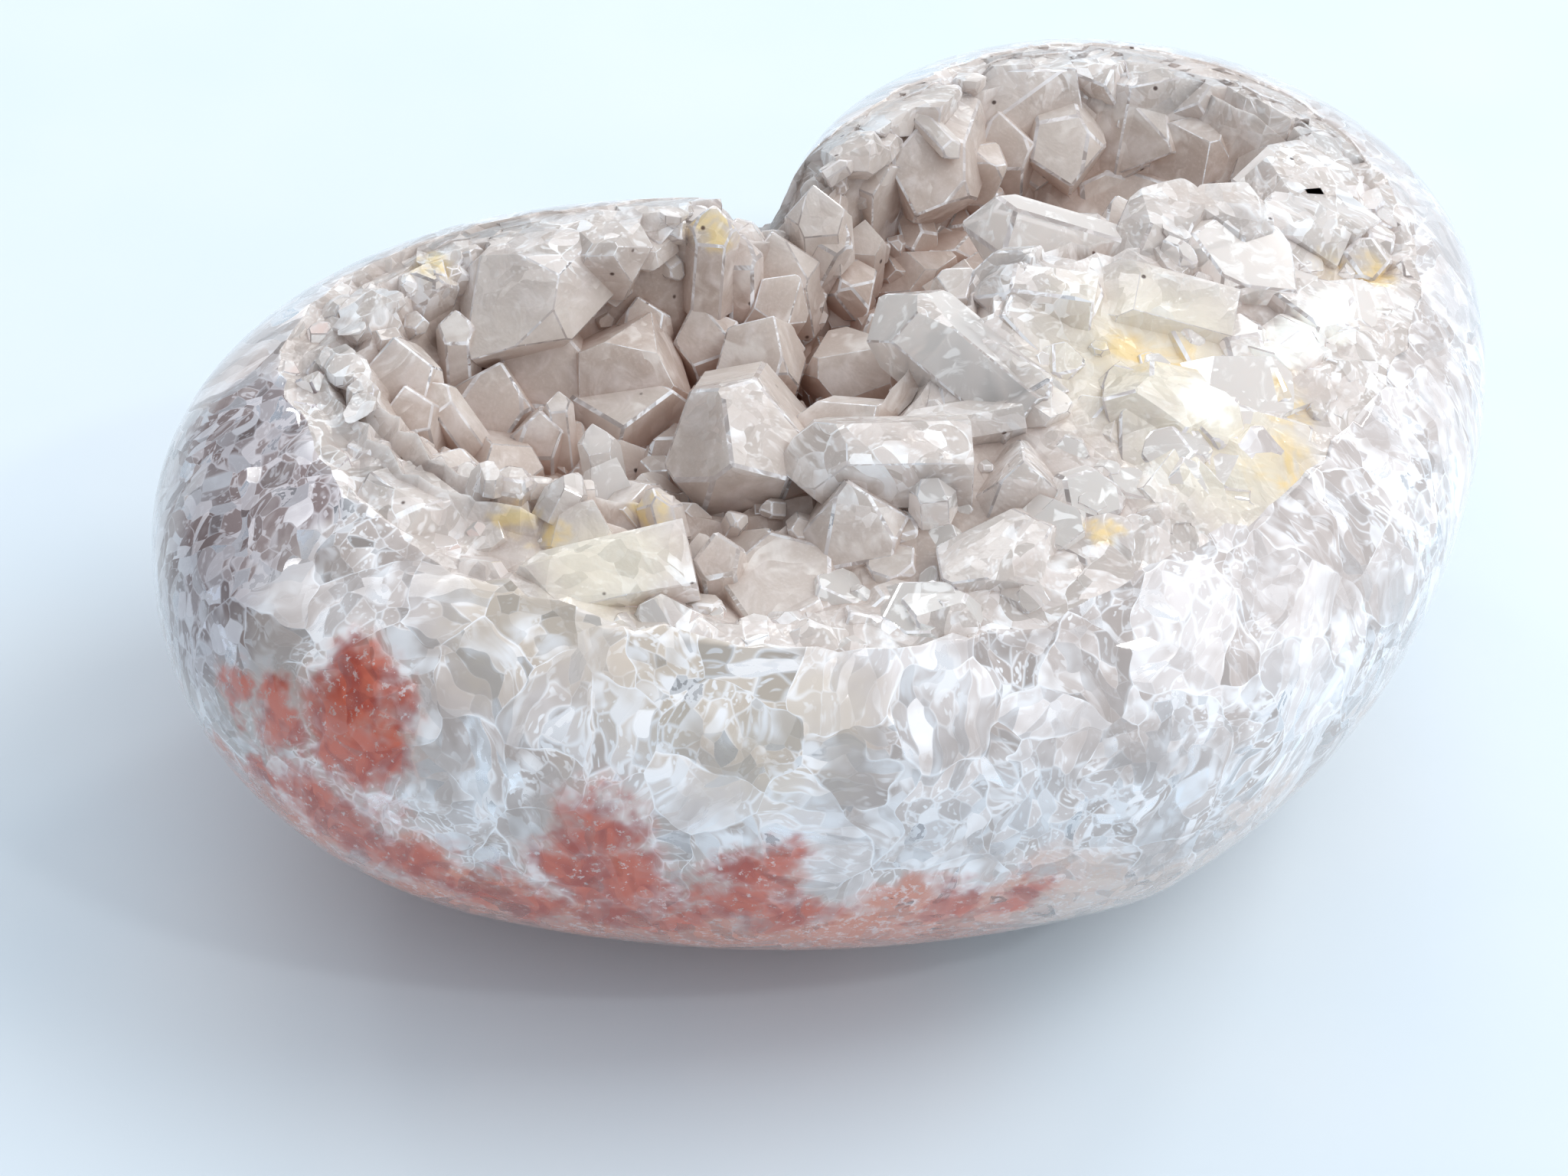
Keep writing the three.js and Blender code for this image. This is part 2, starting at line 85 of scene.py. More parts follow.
@dataclass(frozen=True)
class Viewpoint:
    """Where the picture is taken from, and how its pixels meet the stone."""

    azimuth: float = -39.35
    elevation: float = 44.0
    roll: float = 4.85
    distance: float = 260.0
    lens: float = 98.69
    sensor: float = 36.0
    target: Triple = (-11.67, -3.8, 22.3)
    picture: tuple[int, int] = (2048, 1536)
    near_clip: float = 0.01

    def axes(self) -> np.ndarray:
        """Directions of the picture.

        Returns:
            Rows for its right, its up and the way back to the viewer.
        """
        a, e, r = (math.radians(v) for v in (self.azimuth, self.elevation, self.roll))
        back = np.array([math.sin(a) * math.cos(e), -math.cos(a) * math.cos(e), math.sin(e)])
        level = np.array([math.cos(a), math.sin(a), 0.0])
        upright = np.cross(back, level)
        right = level * math.cos(r) + upright * math.sin(r)
        up = upright * math.cos(r) - level * math.sin(r)
        return np.array([right, up, back])

    def eye(self) -> np.ndarray:
        """Camera position in millimetres."""
        return np.array(self.target) + self.axes()[2] * self.distance

    def ray(self, pixel: Pixel) -> np.ndarray:
        """Unit direction from the eye through a pixel of the photograph.

        Args:
            pixel: Column and row in the 2048 by 1536 picture.

        Returns:
            The direction, away from the camera.
        """
        right, up, back = self.axes()
        focal = self.lens / self.sensor * self.picture[0]
        across = pixel[0] - self.picture[0] / 2
        above = self.picture[1] / 2 - pixel[1]
        direction = right * across + up * above - back * focal
        return direction / np.linalg.norm(direction)

    def shifted(self, pixel: Pixel, heading: float, length: float) -> Pixel:
        """Pixel that lies some millimetres from another, at the stone's distance.

        Args:
            pixel: Column and row to start from.
            heading: Angle in the picture, degrees anticlockwise from its right.
            length: Millimetres between the two.

        Returns:
            Column and row of the other pixel.
        """
        scale = self.lens / self.sensor * self.picture[0] / self.distance * length
        h = math.radians(heading)
        return (pixel[0] + scale * math.cos(h), pixel[1] - scale * math.sin(h))

    def toward(self, heading: float, lean: float) -> np.ndarray:
        """Direction given as the picture shows it.

        Args:
            heading: Angle in the picture, degrees anticlockwise from its right.
            lean: Degrees out of the picture plane, towards the viewer.

        Returns:
            A unit vector in the model's frame.
        """
        h, n = math.radians(heading), math.radians(lean)
        parts = (math.cos(n) * math.cos(h), math.cos(n) * math.sin(h), math.sin(n))
        return np.array(parts) @ self.axes()

    def camera(self) -> None:
        """Makes the camera, and the scene looks through it."""
        data = bpy.data.cameras.new("camera")
        data.lens = self.lens
        data.sensor_width = self.sensor
        data.clip_start = self.near_clip
        camera = bpy.data.objects.new("camera", data)
        turn = Matrix(self.axes().T.tolist()).to_4x4()
        camera.matrix_world = Matrix.Translation(Vector(self.eye() * MM)) @ turn
        bpy.context.scene.collection.objects.link(camera)
        bpy.context.scene.camera = camera


# Mesh helpers


def make_object(
    name: str, points: np.ndarray, faces: Sequence[Sequence[int]], grain: Grain
) -> bpy.types.Object:
    """Makes a mesh object in millimetres.

    Args:
        name: Name of the object and its mesh.
        points: One row for each vertex.
        faces: Vertex numbers of each face.
        grain: Kind of surface that all its faces have.

    Returns:
        The object, not yet in the scene.
    """
    mesh = bpy.data.meshes.new(name)
    mesh.from_pydata([tuple(map(float, p)) for p in points], [], [tuple(map(int, f)) for f in faces])
    for kind in Grain:
        mesh.materials.append(surface_marker(kind))
    mesh.polygons.foreach_set("material_index", [grain.value] * len(mesh.polygons))
    smooth = grain is Grain.POLISHED
    mesh.polygons.foreach_set("use_smooth", [smooth] * len(mesh.polygons))
    for label in ("tone", "rim"):
        mesh.attributes.new(label, "FLOAT", "FACE")
    return bpy.data.objects.new(name, mesh)


def surface_marker(kind: Grain) -> bpy.types.Material:
    """Material that stands for a kind of surface until the piece is dressed."""
    name = f"marker_{kind.name.lower()}"
    return bpy.data.materials.get(name) or bpy.data.materials.new(name)


def combined(base: bpy.types.Object, others: Sequence[bpy.types.Object], how: Cut) -> bpy.types.Object:
    """Joins, cuts or trims a closed solid with others.

    Args:
        base: Solid that is changed.
        others: Closed solids, left as they are.
        how: What is done with them.

    Returns:
        The base, with its new mesh.
    """
    scene = bpy.context.scene
    group = bpy.data.collections.new("operands")
    scene.collection.children.link(group)
    scene.collection.objects.link(base)
    for other in others:
        group.objects.link(other)
    step = base.modifiers.new("combine", "BOOLEAN")
    step.solver = "MANIFOLD"
    step.operation = how.value
    step.operand_type = "COLLECTION"
    step.collection = group
    step.material_mode = "TRANSFER"
    ready = base.evaluated_get(bpy.context.evaluated_depsgraph_get())
    mesh = bpy.data.meshes.new_from_object(ready)
    base.modifiers.clear()
    base.data = mesh
    scene.collection.objects.unlink(base)
    bpy.data.collections.remove(group)
    return base


def copied(solid: bpy.types.Object) -> bpy.types.Object:
    """A second object with its own copy of the mesh.

    Args:
        solid: The object.

    Returns:
        Its twin, not in the scene.
    """
    twin = solid.copy()
    twin.data = solid.data.copy()
    return twin


def keep_main_body(solid: bpy.types.Object) -> None:
    """Drops loose chips, so that only the body with the most faces is left.

    Args:
        solid: Mesh object that is cleaned in place.
    """
    work = bmesh.new()
    work.from_mesh(solid.data)
    unseen = set(work.verts)
    bodies = []
    while unseen:
        front = [unseen.pop()]
        body = set(front)
        while front:
            for edge in front.pop().link_edges:
                for vertex in edge.verts:
                    if vertex in unseen:
                        unseen.discard(vertex)
                        body.add(vertex)
                        front.append(vertex)
        bodies.append(body)
    main = max(bodies, key=len)
    bmesh.ops.delete(work, geom=[v for v in work.verts if v not in main], context="VERTS")
    work.to_mesh(solid.data)
    work.free()


def ring_faces(rings: int, size: int, low_pole: int | None, high_pole: int | None) -> list[list[int]]:
    """Faces of a closed surface made of rings of equal length.

    Args:
        rings: Number of rings, lowest first.
        size: Vertices in each ring.
        low_pole: Vertex that closes the lowest ring, or None for one flat cap.
        high_pole: The same for the highest ring.

    Returns:
        The faces, looking outwards if the rings run anticlockwise.
    """
    faces = []
    for r in range(rings - 1):
        for i in range(size):
            a = r * size + i
            b = r * size + (i + 1) % size
            faces.append([a, b, b + size, a + size])
    top = (rings - 1) * size
    if low_pole is None:
        faces.append(list(range(size - 1, -1, -1)))
    else:
        faces.extend([low_pole, (i + 1) % size, i] for i in range(size))
    if high_pole is None:
        faces.append(list(range(top, top + size)))
    else:
        faces.extend([high_pole, top + i, top + (i + 1) % size] for i in range(size))
    return faces


# Shape of the stone


@dataclass(frozen=True)
class Circle:
    """Circle of the heart's outline, seen from above."""

    x: float
    y: float
    r: float

    def centre(self) -> np.ndarray:
        """Its middle."""
        return np.array([self.x, self.y])


@dataclass(frozen=True)
class Envelope:
    """Polished pillow shape of the whole heart: five arcs in plan and a swollen profile."""

    left: Circle = Circle(-21.75, 7.5, 23.5)
    right: Circle = Circle(22.25, 5.0, 23.0)
    point: Circle = Circle(-0.25, -23.5, 7.5)
    left_flank: float = 80.0
    right_flank: float = 53.0
    notch: float = 4.5
    belly: float = 22.75
    crown: float = 15.25
    power: float = 2.5
    notch_fade: float = 2.0
    notch_spread: int = 40
    foot_cut: float = 0.45
    samples: int = 252
    rings: int = 72
    arc_step: float = 0.8
    least_points: int = 6

    def arc(self, centre: np.ndarray, radius: float, start: float, stop: float) -> np.ndarray:
        """Evenly spaced points along an arc, without its end.

        Args:
            centre: Middle of the arc.
            radius: Its radius.
            start: Bearing of its first point, in radians.
            stop: Bearing of its end.

        Returns:
            One row for each point.
        """
        count = max(self.least_points, round(abs(stop - start) * radius / self.arc_step))
        angles = start + (stop - start) * np.arange(count) / count
        return centre + radius * np.stack([np.cos(angles), np.sin(angles)], axis=1)

    @staticmethod
    def between(a: np.ndarray, from_a: float, b: np.ndarray, from_b: float, side: int) -> np.ndarray:
        """Point at given distances from two others.

        Args:
            a: First point.
            from_a: Distance from the first point.
            b: Second point.
            from_b: Distance from the second point.
            side: 1 for the left of the line from the first to the second, -1 for its right.

        Returns:
            The point.
        """
        span = np.linalg.norm(b - a)
        along = (b - a) / span
        run = (from_a**2 - from_b**2 + span**2) / (2 * span)
        rise = math.sqrt(from_a**2 - run**2)
        return a + along * run + np.array([-along[1], along[0]]) * rise * side

    def outline(self) -> np.ndarray:
        """The heart seen from above.

        Returns:
            Evenly spaced points round it, anticlockwise.
        """
        left, right, point = (c.centre() for c in (self.left, self.right, self.point))
        right_flank = self.between(
            point, self.right_flank - self.point.r, right, self.right_flank - self.right.r, 1
        )
        left_flank = self.between(
            point, self.left_flank - self.point.r, left, self.left_flank - self.left.r, -1
        )
        notch = self.between(left, self.left.r + self.notch, right, self.right.r + self.notch, 1)

        def bearing(start: np.ndarray, end: np.ndarray, past: float | None = None) -> float:
            """Angle from one point to another, turned on until it is past a given one."""
            angle = math.atan2(end[1] - start[1], end[0] - start[0])
            return angle + math.tau if past is not None and angle < past else angle

        at_left = bearing(left_flank, point)
        at_right = bearing(right_flank, point, at_left)
        lobe = bearing(right_flank, right, at_right)
        right_end = bearing(right, notch, lobe)
        dip = bearing(notch, right)
        dip_end = bearing(notch, left)
        dip_end -= math.tau if dip_end > dip else 0.0
        left_start = bearing(left, notch)
        left_end = bearing(left_flank, left, left_start)
        flank_end = bearing(left_flank, point, left_end)
        raw = np.concatenate([
            self.arc(point, self.point.r, at_left, at_right),
            self.arc(right_flank, self.right_flank, at_right, lobe),
            self.arc(right, self.right.r, lobe, right_end),
            self.arc(notch, self.notch, dip, dip_end),
            self.arc(left, self.left.r, left_start, left_end),
            self.arc(left_flank, self.left_flank, left_end, flank_end),
        ])
        closed = np.vstack([raw, raw[:1]])
        lengths = np.concatenate([[0.0], np.cumsum(np.linalg.norm(np.diff(closed, axis=0), axis=1))])
        wanted = np.arange(self.samples) / self.samples * lengths[-1]
        return np.stack([np.interp(wanted, lengths, closed[:, k]) for k in (0, 1)], axis=1)

    def softened(self, outline: np.ndarray) -> np.ndarray:
        """The outline with its notch smoothed away, as it is towards the crown and the belly.

        Args:
            outline: Evenly spaced points round the heart.

        Returns:
            The same number of points.
        """
        reach = np.arange(-self.notch_spread, self.notch_spread + 1)
        weights = 0.5 + 0.5 * np.cos(np.pi * reach / self.notch_spread)
        total = sum(np.roll(outline, -k, axis=0) * w for k, w in zip(reach, weights))
        return total / weights.sum()

    def skin(self, shift: float = 0.0, grain: Grain = Grain.POLISHED) -> bpy.types.Object:
        """Closed polished surface.

        Args:
            shift: Millimetres that the whole surface is lowered or raised.
            grain: Kind of surface that its faces have.

        Returns:
            The solid, with its foot flattened.
        """
        outline = self.outline()
        soft = self.softened(outline)
        rows = []
        for k in range(1, self.rings):
            phi = -math.pi / 2 + math.pi * k / self.rings
            reach = abs(math.cos(phi)) ** (2 / self.power)
            rise = math.copysign(abs(math.sin(phi)) ** (2 / self.power), phi)
            blend = reach**self.notch_fade
            height = self.belly + rise * (self.crown if rise > 0 else self.belly)
            plan = (outline * blend + soft * (1 - blend)) * reach
            rows.append(np.column_stack([plan, np.full(self.samples, height)]))
        low = [0.0, 0.0, 0.0]
        high = [0.0, 0.0, self.belly + self.crown]
        points = np.vstack([*rows, [low], [high]])
        points[:, 2] = np.maximum(points[:, 2], self.foot_cut) - self.foot_cut + shift
        count = (self.rings - 1) * self.samples
        faces = ring_faces(self.rings - 1, self.samples, count, count + 1)
        return make_object("skin", points, faces, grain)


class Crown:
    """Height of the polished crown over any place in plan."""

    edge_reach: float = 0.999
    nearest: float = 0.6
    farthest: float = 1.6
    stride: float = 0.5
    halvings: int = 12

    def __init__(self, envelope: Envelope) -> None:
        """Keeps the outline as radius against bearing.

        Args:
            envelope: Shape whose crown it is.
        """
        outline = envelope.outline()
        bearings = np.arctan2(outline[:, 1], outline[:, 0])
        order = np.argsort(bearings)
        self.bearings = bearings[order]
        self.radii = np.hypot(outline[:, 0], outline[:, 1])[order]
        self.envelope = envelope

    def height(self, x: float | np.ndarray, y: float | np.ndarray) -> float | np.ndarray:
        """Millimetres of the crown above the foot.

        Args:
            x: Place across the lobes.
            y: Place towards the notch.

        Returns:
            One height for each place.
        """
        radius = np.interp(np.arctan2(y, x), self.bearings, self.radii, period=math.tau)
        reach = np.minimum(self.edge_reach, np.hypot(x, y) / radius)
        power = self.envelope.power
        rise = (1 - reach**power) ** (1 / power)
        return self.envelope.belly + self.envelope.crown * rise - self.envelope.foot_cut

    def below(self, view: Viewpoint, pixel: Pixel, drop: float) -> np.ndarray:
        """Place that a pixel shows when it lies a given depth below the crown.

        Args:
            view: The picture's viewpoint.
            pixel: Column and row in the photograph.
            drop: Millimetres below the polished crown.

        Returns:
            The point in millimetres.
        """
        eye, ray = view.eye(), view.ray(pixel)
        near, far = self.nearest * view.distance, self.farthest * view.distance
        for travel in np.arange(near, far, self.stride):
            p = eye + ray * travel
            if p[2] <= self.height(p[0], p[1]) - drop:
                near, far = travel - self.stride, travel
                break
        for _ in range(self.halvings):
            middle = (near + far) / 2
            p = eye + ray * middle
            if p[2] <= self.height(p[0], p[1]) - drop:
                far = middle
            else:
                near = middle
        return eye + ray * far


@dataclass(frozen=True)
class Station:
    """One place round the hollow.

    polish: where the polished skin stops; edge: lip of the deep trough; floor: foot of its
    wall; drop: depth of the shelf at the lip; deep: depth of the floor.
    """

    polish: tuple[float, float]
    edge: tuple[float, float]
    floor: tuple[float, float]
    drop: float
    deep: float


@dataclass(frozen=True)
class Hollow:
    """Trough across both lobes and the broken shelf beside it, anticlockwise from the notch."""

    stations: tuple[Station, ...] = (
        Station((1, 18), (1, 16), (-1, 9.5), 1.0, 13.0),
        Station((-7, 19.5), (-7, 17.5), (-6, 10.5), 1.0, 13.5),
        Station((-16, 24.5), (-15, 22), (-13, 11), 0.8, 13.0),
        Station((-25, 26), (-23.5, 23), (-19, 13), 0.8, 12.0),
        Station((-32, 21), (-30, 19), (-22.5, 13), 1.0, 11.0),
        Station((-35, 12), (-32, 11.5), (-23.5, 10), 1.0, 11.0),
        Station((-35.5, 3.5), (-31, 4), (-22, 7), 1.2, 11.5),
        Station((-30.5, -6.5), (-25, -1.5), (-17, 4), 3.2, 12.0),
        Station((-22, -15.5), (-17.5, -6.5), (-12, 2), 5.5, 12.0),
        Station((-12, -21), (-9.5, -7), (-5.5, 2.5), 4.2, 12.5),
        Station((0, -23.5), (0, -3.5), (1, 5.5), 1.6, 14.5),
        Station((12, -21.5), (9, -1), (8, 6.5), 0.9, 16.0),
        Station((24, -16.5), (19, -3), (16, 6), 1.2, 15.5),
        Station((33, -9.5), (29, -3.5), (22, 4.5), 1.2, 13.0),
        Station((38, 1), (35.5, 2), (24, 5.5), 0.9, 12.0),
        Station((36.5, 12), (34.5, 10.5), (22.5, 8.5), 0.7, 13.0),
        Station((29, 20), (28, 18), (17, 9.5), 0.7, 15.0),
        Station((19, 21.5), (18.5, 19.5), (10.5, 10.5), 0.7, 16.0),
        Station((9.5, 20), (9.5, 18), (5, 10.5), 0.9, 15.0),
    )
    splits: int = 8
    wall_rows: int = 9
    shelf_rows: int = 6
    lip_wobble: float = 1.0
    polish_wobble: float = 0.9
    wobble_scale: float = 0.55
    wobble_planes: tuple[float, float] = (3.0, 8.0)
    polish_step: float = 0.35
    roughness: float = 0.9
    rough_scale: float = 0.3
    rough_plane: float = 5.0
    first_shelf_plane: int = 20
    fall_power: float = 1.15
    floor_reach: float = 0.92
    shelf_sag: float = 1.5
    sag_skew: float = 1.15
    wide_shelf: float = 8.0
    lid: float = 50.0
    lid_flare: float = 1.06

    def finer(self) -> dict[str, np.ndarray]:
        """Stations joined by smooth curves, with irregular lips.

        Returns:
            The plan rings and depths, one row for each finer station.
        """
        count = len(self.stations)
        at = np.arange(count * self.splits) / self.splits
        index = np.floor(at).astype(int)
        t = (at - index)[:, None]

        def curve(values: list) -> np.ndarray:
            """Closed curve through the given values.

            Args:
                values: One number or pair for each station.

            Returns:
                One row for each finer station.
            """
            v = np.array(values, float).reshape(count, -1)
            a, b, c, d = (v[(index + k) % count] for k in (-1, 0, 1, 2))
            return b + t / 2 * (c - a + t * (2 * a - 5 * b + 4 * c - d + t * (3 * (b - c) + d - a)))

        rings = {
            name: curve([getattr(s, name) for s in self.stations])
            for name in ("polish", "edge", "floor", "drop", "deep")
        }
        amounts = (self.polish_wobble, self.lip_wobble)
        for name, amount, plane in zip(("polish", "edge"), amounts, self.wobble_planes):
            for ring in rings[name]:
                p = Vector((ring[0] * self.wobble_scale, ring[1] * self.wobble_scale, plane))
                ring += amount * np.array(field_noise.noise_vector(p))[:2]
        return rings

    def roughened(self, row: np.ndarray, number: int, share: float | np.ndarray = 1.0) -> np.ndarray:
        """Makes the heights of a ring of points uneven.

        Args:
            row: The points, changed in place.
            number: Which ring it is, so that no two are alike.
            share: How much of the roughness each point gets.

        Returns:
            The same points.
        """
        scale, plane = self.rough_scale, self.rough_plane + number
        lift = [field_noise.noise(Vector((p[0] * scale, p[1] * scale, plane))) for p in row]
        row[:, 2] += self.roughness * np.array(lift) * share
        return row

    def wall(self, crown: Crown, gap: float) -> list[np.ndarray]:
        """Rings up the trough's wall.

        Args:
            crown: Height of the polished crown.
            gap: Millimetres that the wall stands off the stone.

        Returns:
            Rings of points, the floor's first.
        """
        rings = self.finer()
        edge, floor = rings["edge"], rings["floor"]
        top = crown.height(*edge.T) - rings["drop"][:, 0]
        low = crown.height(*floor.T) - rings["deep"][:, 0]
        inset = gap / np.linalg.norm(floor - edge, axis=1)
        rows = []
        for k in range(self.wall_rows + 1):
            t = 1 - k / self.wall_rows
            plan = edge + (floor - edge) * (inset + (1 - inset) * t * self.floor_reach)[:, None]
            fall = math.sin(t * math.pi / 2) ** self.fall_power
            rows.append(self.roughened(np.column_stack([plan, top + (low - top) * fall + gap]), k))
        return rows

    def shelf(self, crown: Crown) -> list[np.ndarray]:
        """Rings over the broken shelf.

        Args:
            crown: Height of the polished crown.

        Returns:
            Rings of points, from the trough's lip out to the polished skin.
        """
        rings = self.finer()
        edge, polish, drop = rings["edge"], rings["polish"], rings["drop"][:, 0]
        span = np.linalg.norm(polish - edge, axis=1)
        loose = np.minimum(1.0, span / self.wide_shelf)
        rows = []
        for k in range(1, self.shelf_rows + 1):
            part = k / self.shelf_rows
            plan = edge + (polish - edge) * part
            sag = self.shelf_sag * loose * math.sin(math.pi * min(1.0, part * self.sag_skew))
            height = crown.height(*plan.T) - (drop + (self.polish_step - drop) * part) - sag
            row = np.column_stack([plan, height])
            inner = k < self.shelf_rows
            rows.append(self.roughened(row, self.first_shelf_plane + k, loose) if inner else row)
        return rows

    def tool(self, crown: Crown, gap: float, with_shelf: bool) -> bpy.types.Object:
        """Solid that clears the trough.

        Args:
            crown: Height of the polished crown.
            gap: Millimetres that its wall is kept off the stone.
            with_shelf: Whether it also clears the broken shelf.

        Returns:
            The closed tool.
        """
        rows = self.wall(crown, gap) + (self.shelf(crown) if with_shelf else [])
        rim = rows[-1]
        flare = self.lid_flare if with_shelf else 1.0
        rows.append(np.column_stack([rim[:, :2] * flare, np.full(len(rim), self.lid)]))
        faces = ring_faces(len(rows), len(rim), None, None)
        return make_object("tool", np.vstack(rows), faces, Grain.SATIN)

    def bowl(self, crown: Crown, gap: float, thickness: float) -> bpy.types.Object:
        """Shell that lines the trough to just under its lip.

        Args:
            crown: Height of the polished crown.
            gap: Millimetres between the shell and the stone.
            thickness: Thickness of the shell.

        Returns:
            The closed shell.
        """
        rows = self.wall(crown, gap)[:-1] + self.wall(crown, gap + thickness)[-2::-1]
        faces = ring_faces(len(rows), len(rows[0]), None, None)
        return make_object("bowl", np.vstack(rows), faces, Grain.SATIN)


# Crystals

PARALLEL = 1e-6
OUTSIDE = 1e-6
ON_PLANE = 1e-4
ALIKE_DIGITS = 5


def polyhedron(planes: np.ndarray) -> tuple[np.ndarray, list[list[int]]]:
    """Convex solid bounded by planes.

    Args:
        planes: Rows of an outward unit normal and its distance.

    Returns:
        The corners, and the corners of each face in order.
    """
    normals, reach = planes[:, :3], planes[:, 3]
    triples = np.array(list(combinations(range(len(planes)), 3)))
    systems = normals[triples]
    good = np.abs(np.linalg.det(systems)) > PARALLEL
    corners = np.linalg.solve(systems[good], reach[triples[good]][..., None])[..., 0]
    corners = corners[(corners @ normals.T <= reach + OUTSIDE).all(axis=1)]
    corners = np.unique(np.round(corners, ALIKE_DIGITS), axis=0)
    faces = []
    for normal, distance in zip(normals, reach):
        on = np.flatnonzero(np.abs(corners @ normal - distance) < ON_PLANE)
        if len(on) < 3:
            continue
        middle = corners[on].mean(axis=0)
        first = corners[on[0]] - middle
        second = np.cross(normal, first)
        spread = corners[on] - middle
        faces.append(on[np.argsort(np.arctan2(spread @ second, spread @ first))].tolist())
    return corners, faces


@dataclass(frozen=True)
class Crystal:
    """Six-sided quartz crystal with a lopsided pyramid end, in millimetres.

    lead is the direction that the largest end face looks towards, blunt cuts the point off by
    that many radii, and uneven scatters the sizes of its faces. small_faces and cut_lean are
    ranges of a share and an angle that are drawn at random, and bevels is a range of shares.
    """

    tip: np.ndarray
    axis: np.ndarray
    radius: float
    length: float
    lead: np.ndarray
    blunt: float = 0.0
    uneven: float = 0.3
    tone: float = 0.5
    grain: Grain = Grain.SATIN
    bevel: float = 0.14
    bevels: tuple[float, float] = (0.6, 1.3)
    end_slope: float = 51.8
    small_faces: tuple[float, float] = (0.15, 0.9)
    cut_lean: tuple[float, float] = (0.0, 0.3)
    least_edge: float = 0.02

    def planes(self, rng: np.random.Generator) -> np.ndarray:
        """Outward planes of the crystal about its own axis, rising from the root.

        Args:
            rng: Source of the small differences between faces.

        Returns:
            Rows of a unit normal and its distance from the root's centre.
        """
        slope = math.radians(self.end_slope)
        rows = [[0.0, 0.0, -1.0, 0.0]]
        for k in range(6):
            a = k * math.pi / 3
            side = self.radius * rng.uniform(1 - self.uneven / 2, 1.0)
            rows.append([math.cos(a), math.sin(a), 0.0, side])
            extra = rng.uniform(*(self.small_faces if k % 2 else (0.0, self.uneven)))
            height = self.length + (extra if k else 0.0) * self.radius
            normal = [math.cos(a) * math.sin(slope), math.sin(a) * math.sin(slope), math.cos(slope)]
            rows.append([*normal, math.cos(slope) * height])
        if self.blunt > 0:
            lean, side = rng.uniform(*self.cut_lean), rng.uniform(0.0, math.tau)
            normal = [math.sin(lean) * math.cos(side), math.sin(lean) * math.sin(side), math.cos(lean)]
            rows.append([*normal, math.cos(lean) * (self.length - self.blunt * self.radius)])
        return np.array(rows)

    def above(self, crown: Crown, headroom: float) -> float:
        """Millimetres by which the tip or the shoulders stand too high under the crown.

        Args:
            crown: Height of the polished crown.
            headroom: Depth that they should keep below it.

        Returns:
            The largest excess, negative where all is low enough.
        """
        axis = self.axis / np.linalg.norm(self.axis)
        first = self.lead - axis * (self.lead @ axis)
        first /= np.linalg.norm(first)
        second = np.cross(axis, first)
        drop = self.radius * math.tan(math.radians(self.end_slope))
        points = [self.tip]
        for k in range(6):
            a = k * math.pi / 3
            ring = (first * math.cos(a) + second * math.sin(a)) * self.radius
            points.append(self.tip - axis * drop + ring)
        x, y, z = np.array(points).T
        return float((z - crown.height(x, y)).max() + headroom)

    def shape(self, rng: np.random.Generator) -> tuple[np.ndarray, list[list[int]]]:
        """Corners and faces about the crystal's own axis, drawn again while any edge is too short.

        Args:
            rng: Source of the small differences between faces.

        Returns:
            The corners, and the corners of each face in order.
        """
        while True:
            points, faces = polyhedron(self.planes(rng))
            edges = [(a, b) for face in faces for a, b in zip(face, face[1:] + face[:1])]
            if min(np.linalg.norm(points[a] - points[b]) for a, b in edges) > self.least_edge:
                return points, faces

    def solid(self, rng: np.random.Generator) -> bpy.types.Object:
        """Closed crystal with its edges slightly rounded.

        Args:
            rng: Source of the small differences between faces.

        Returns:
            The solid, with its tone and rims marked on its faces.
        """
        points, faces = self.shape(rng)
        axis = self.axis / np.linalg.norm(self.axis)
        lead = self.lead - axis * (self.lead @ axis)
        lead /= np.linalg.norm(lead)
        turn = np.array([lead, np.cross(axis, lead), axis])
        placed = points @ turn + self.tip - axis * self.length
        solid = make_object("crystal", placed, faces, self.grain)
        solid.data.attributes["tone"].data.foreach_set("value", [self.tone] * len(faces))
        work = bmesh.new()
        work.from_mesh(solid.data)
        rim = work.faces.layers.float["rim"]
        made = bmesh.ops.bevel(
            work,
            geom=list(work.edges),
            offset=self.bevel * rng.uniform(*self.bevels),
            offset_type="OFFSET",
            segments=1,
            profile=0.5,
            affect="EDGES",
            clamp_overlap=True,
        )
        for face in made["faces"]:
            face[rim] = 1.0
        if all(edge.is_manifold for edge in work.edges):
            work.to_mesh(solid.data)
        work.free()
        return solid


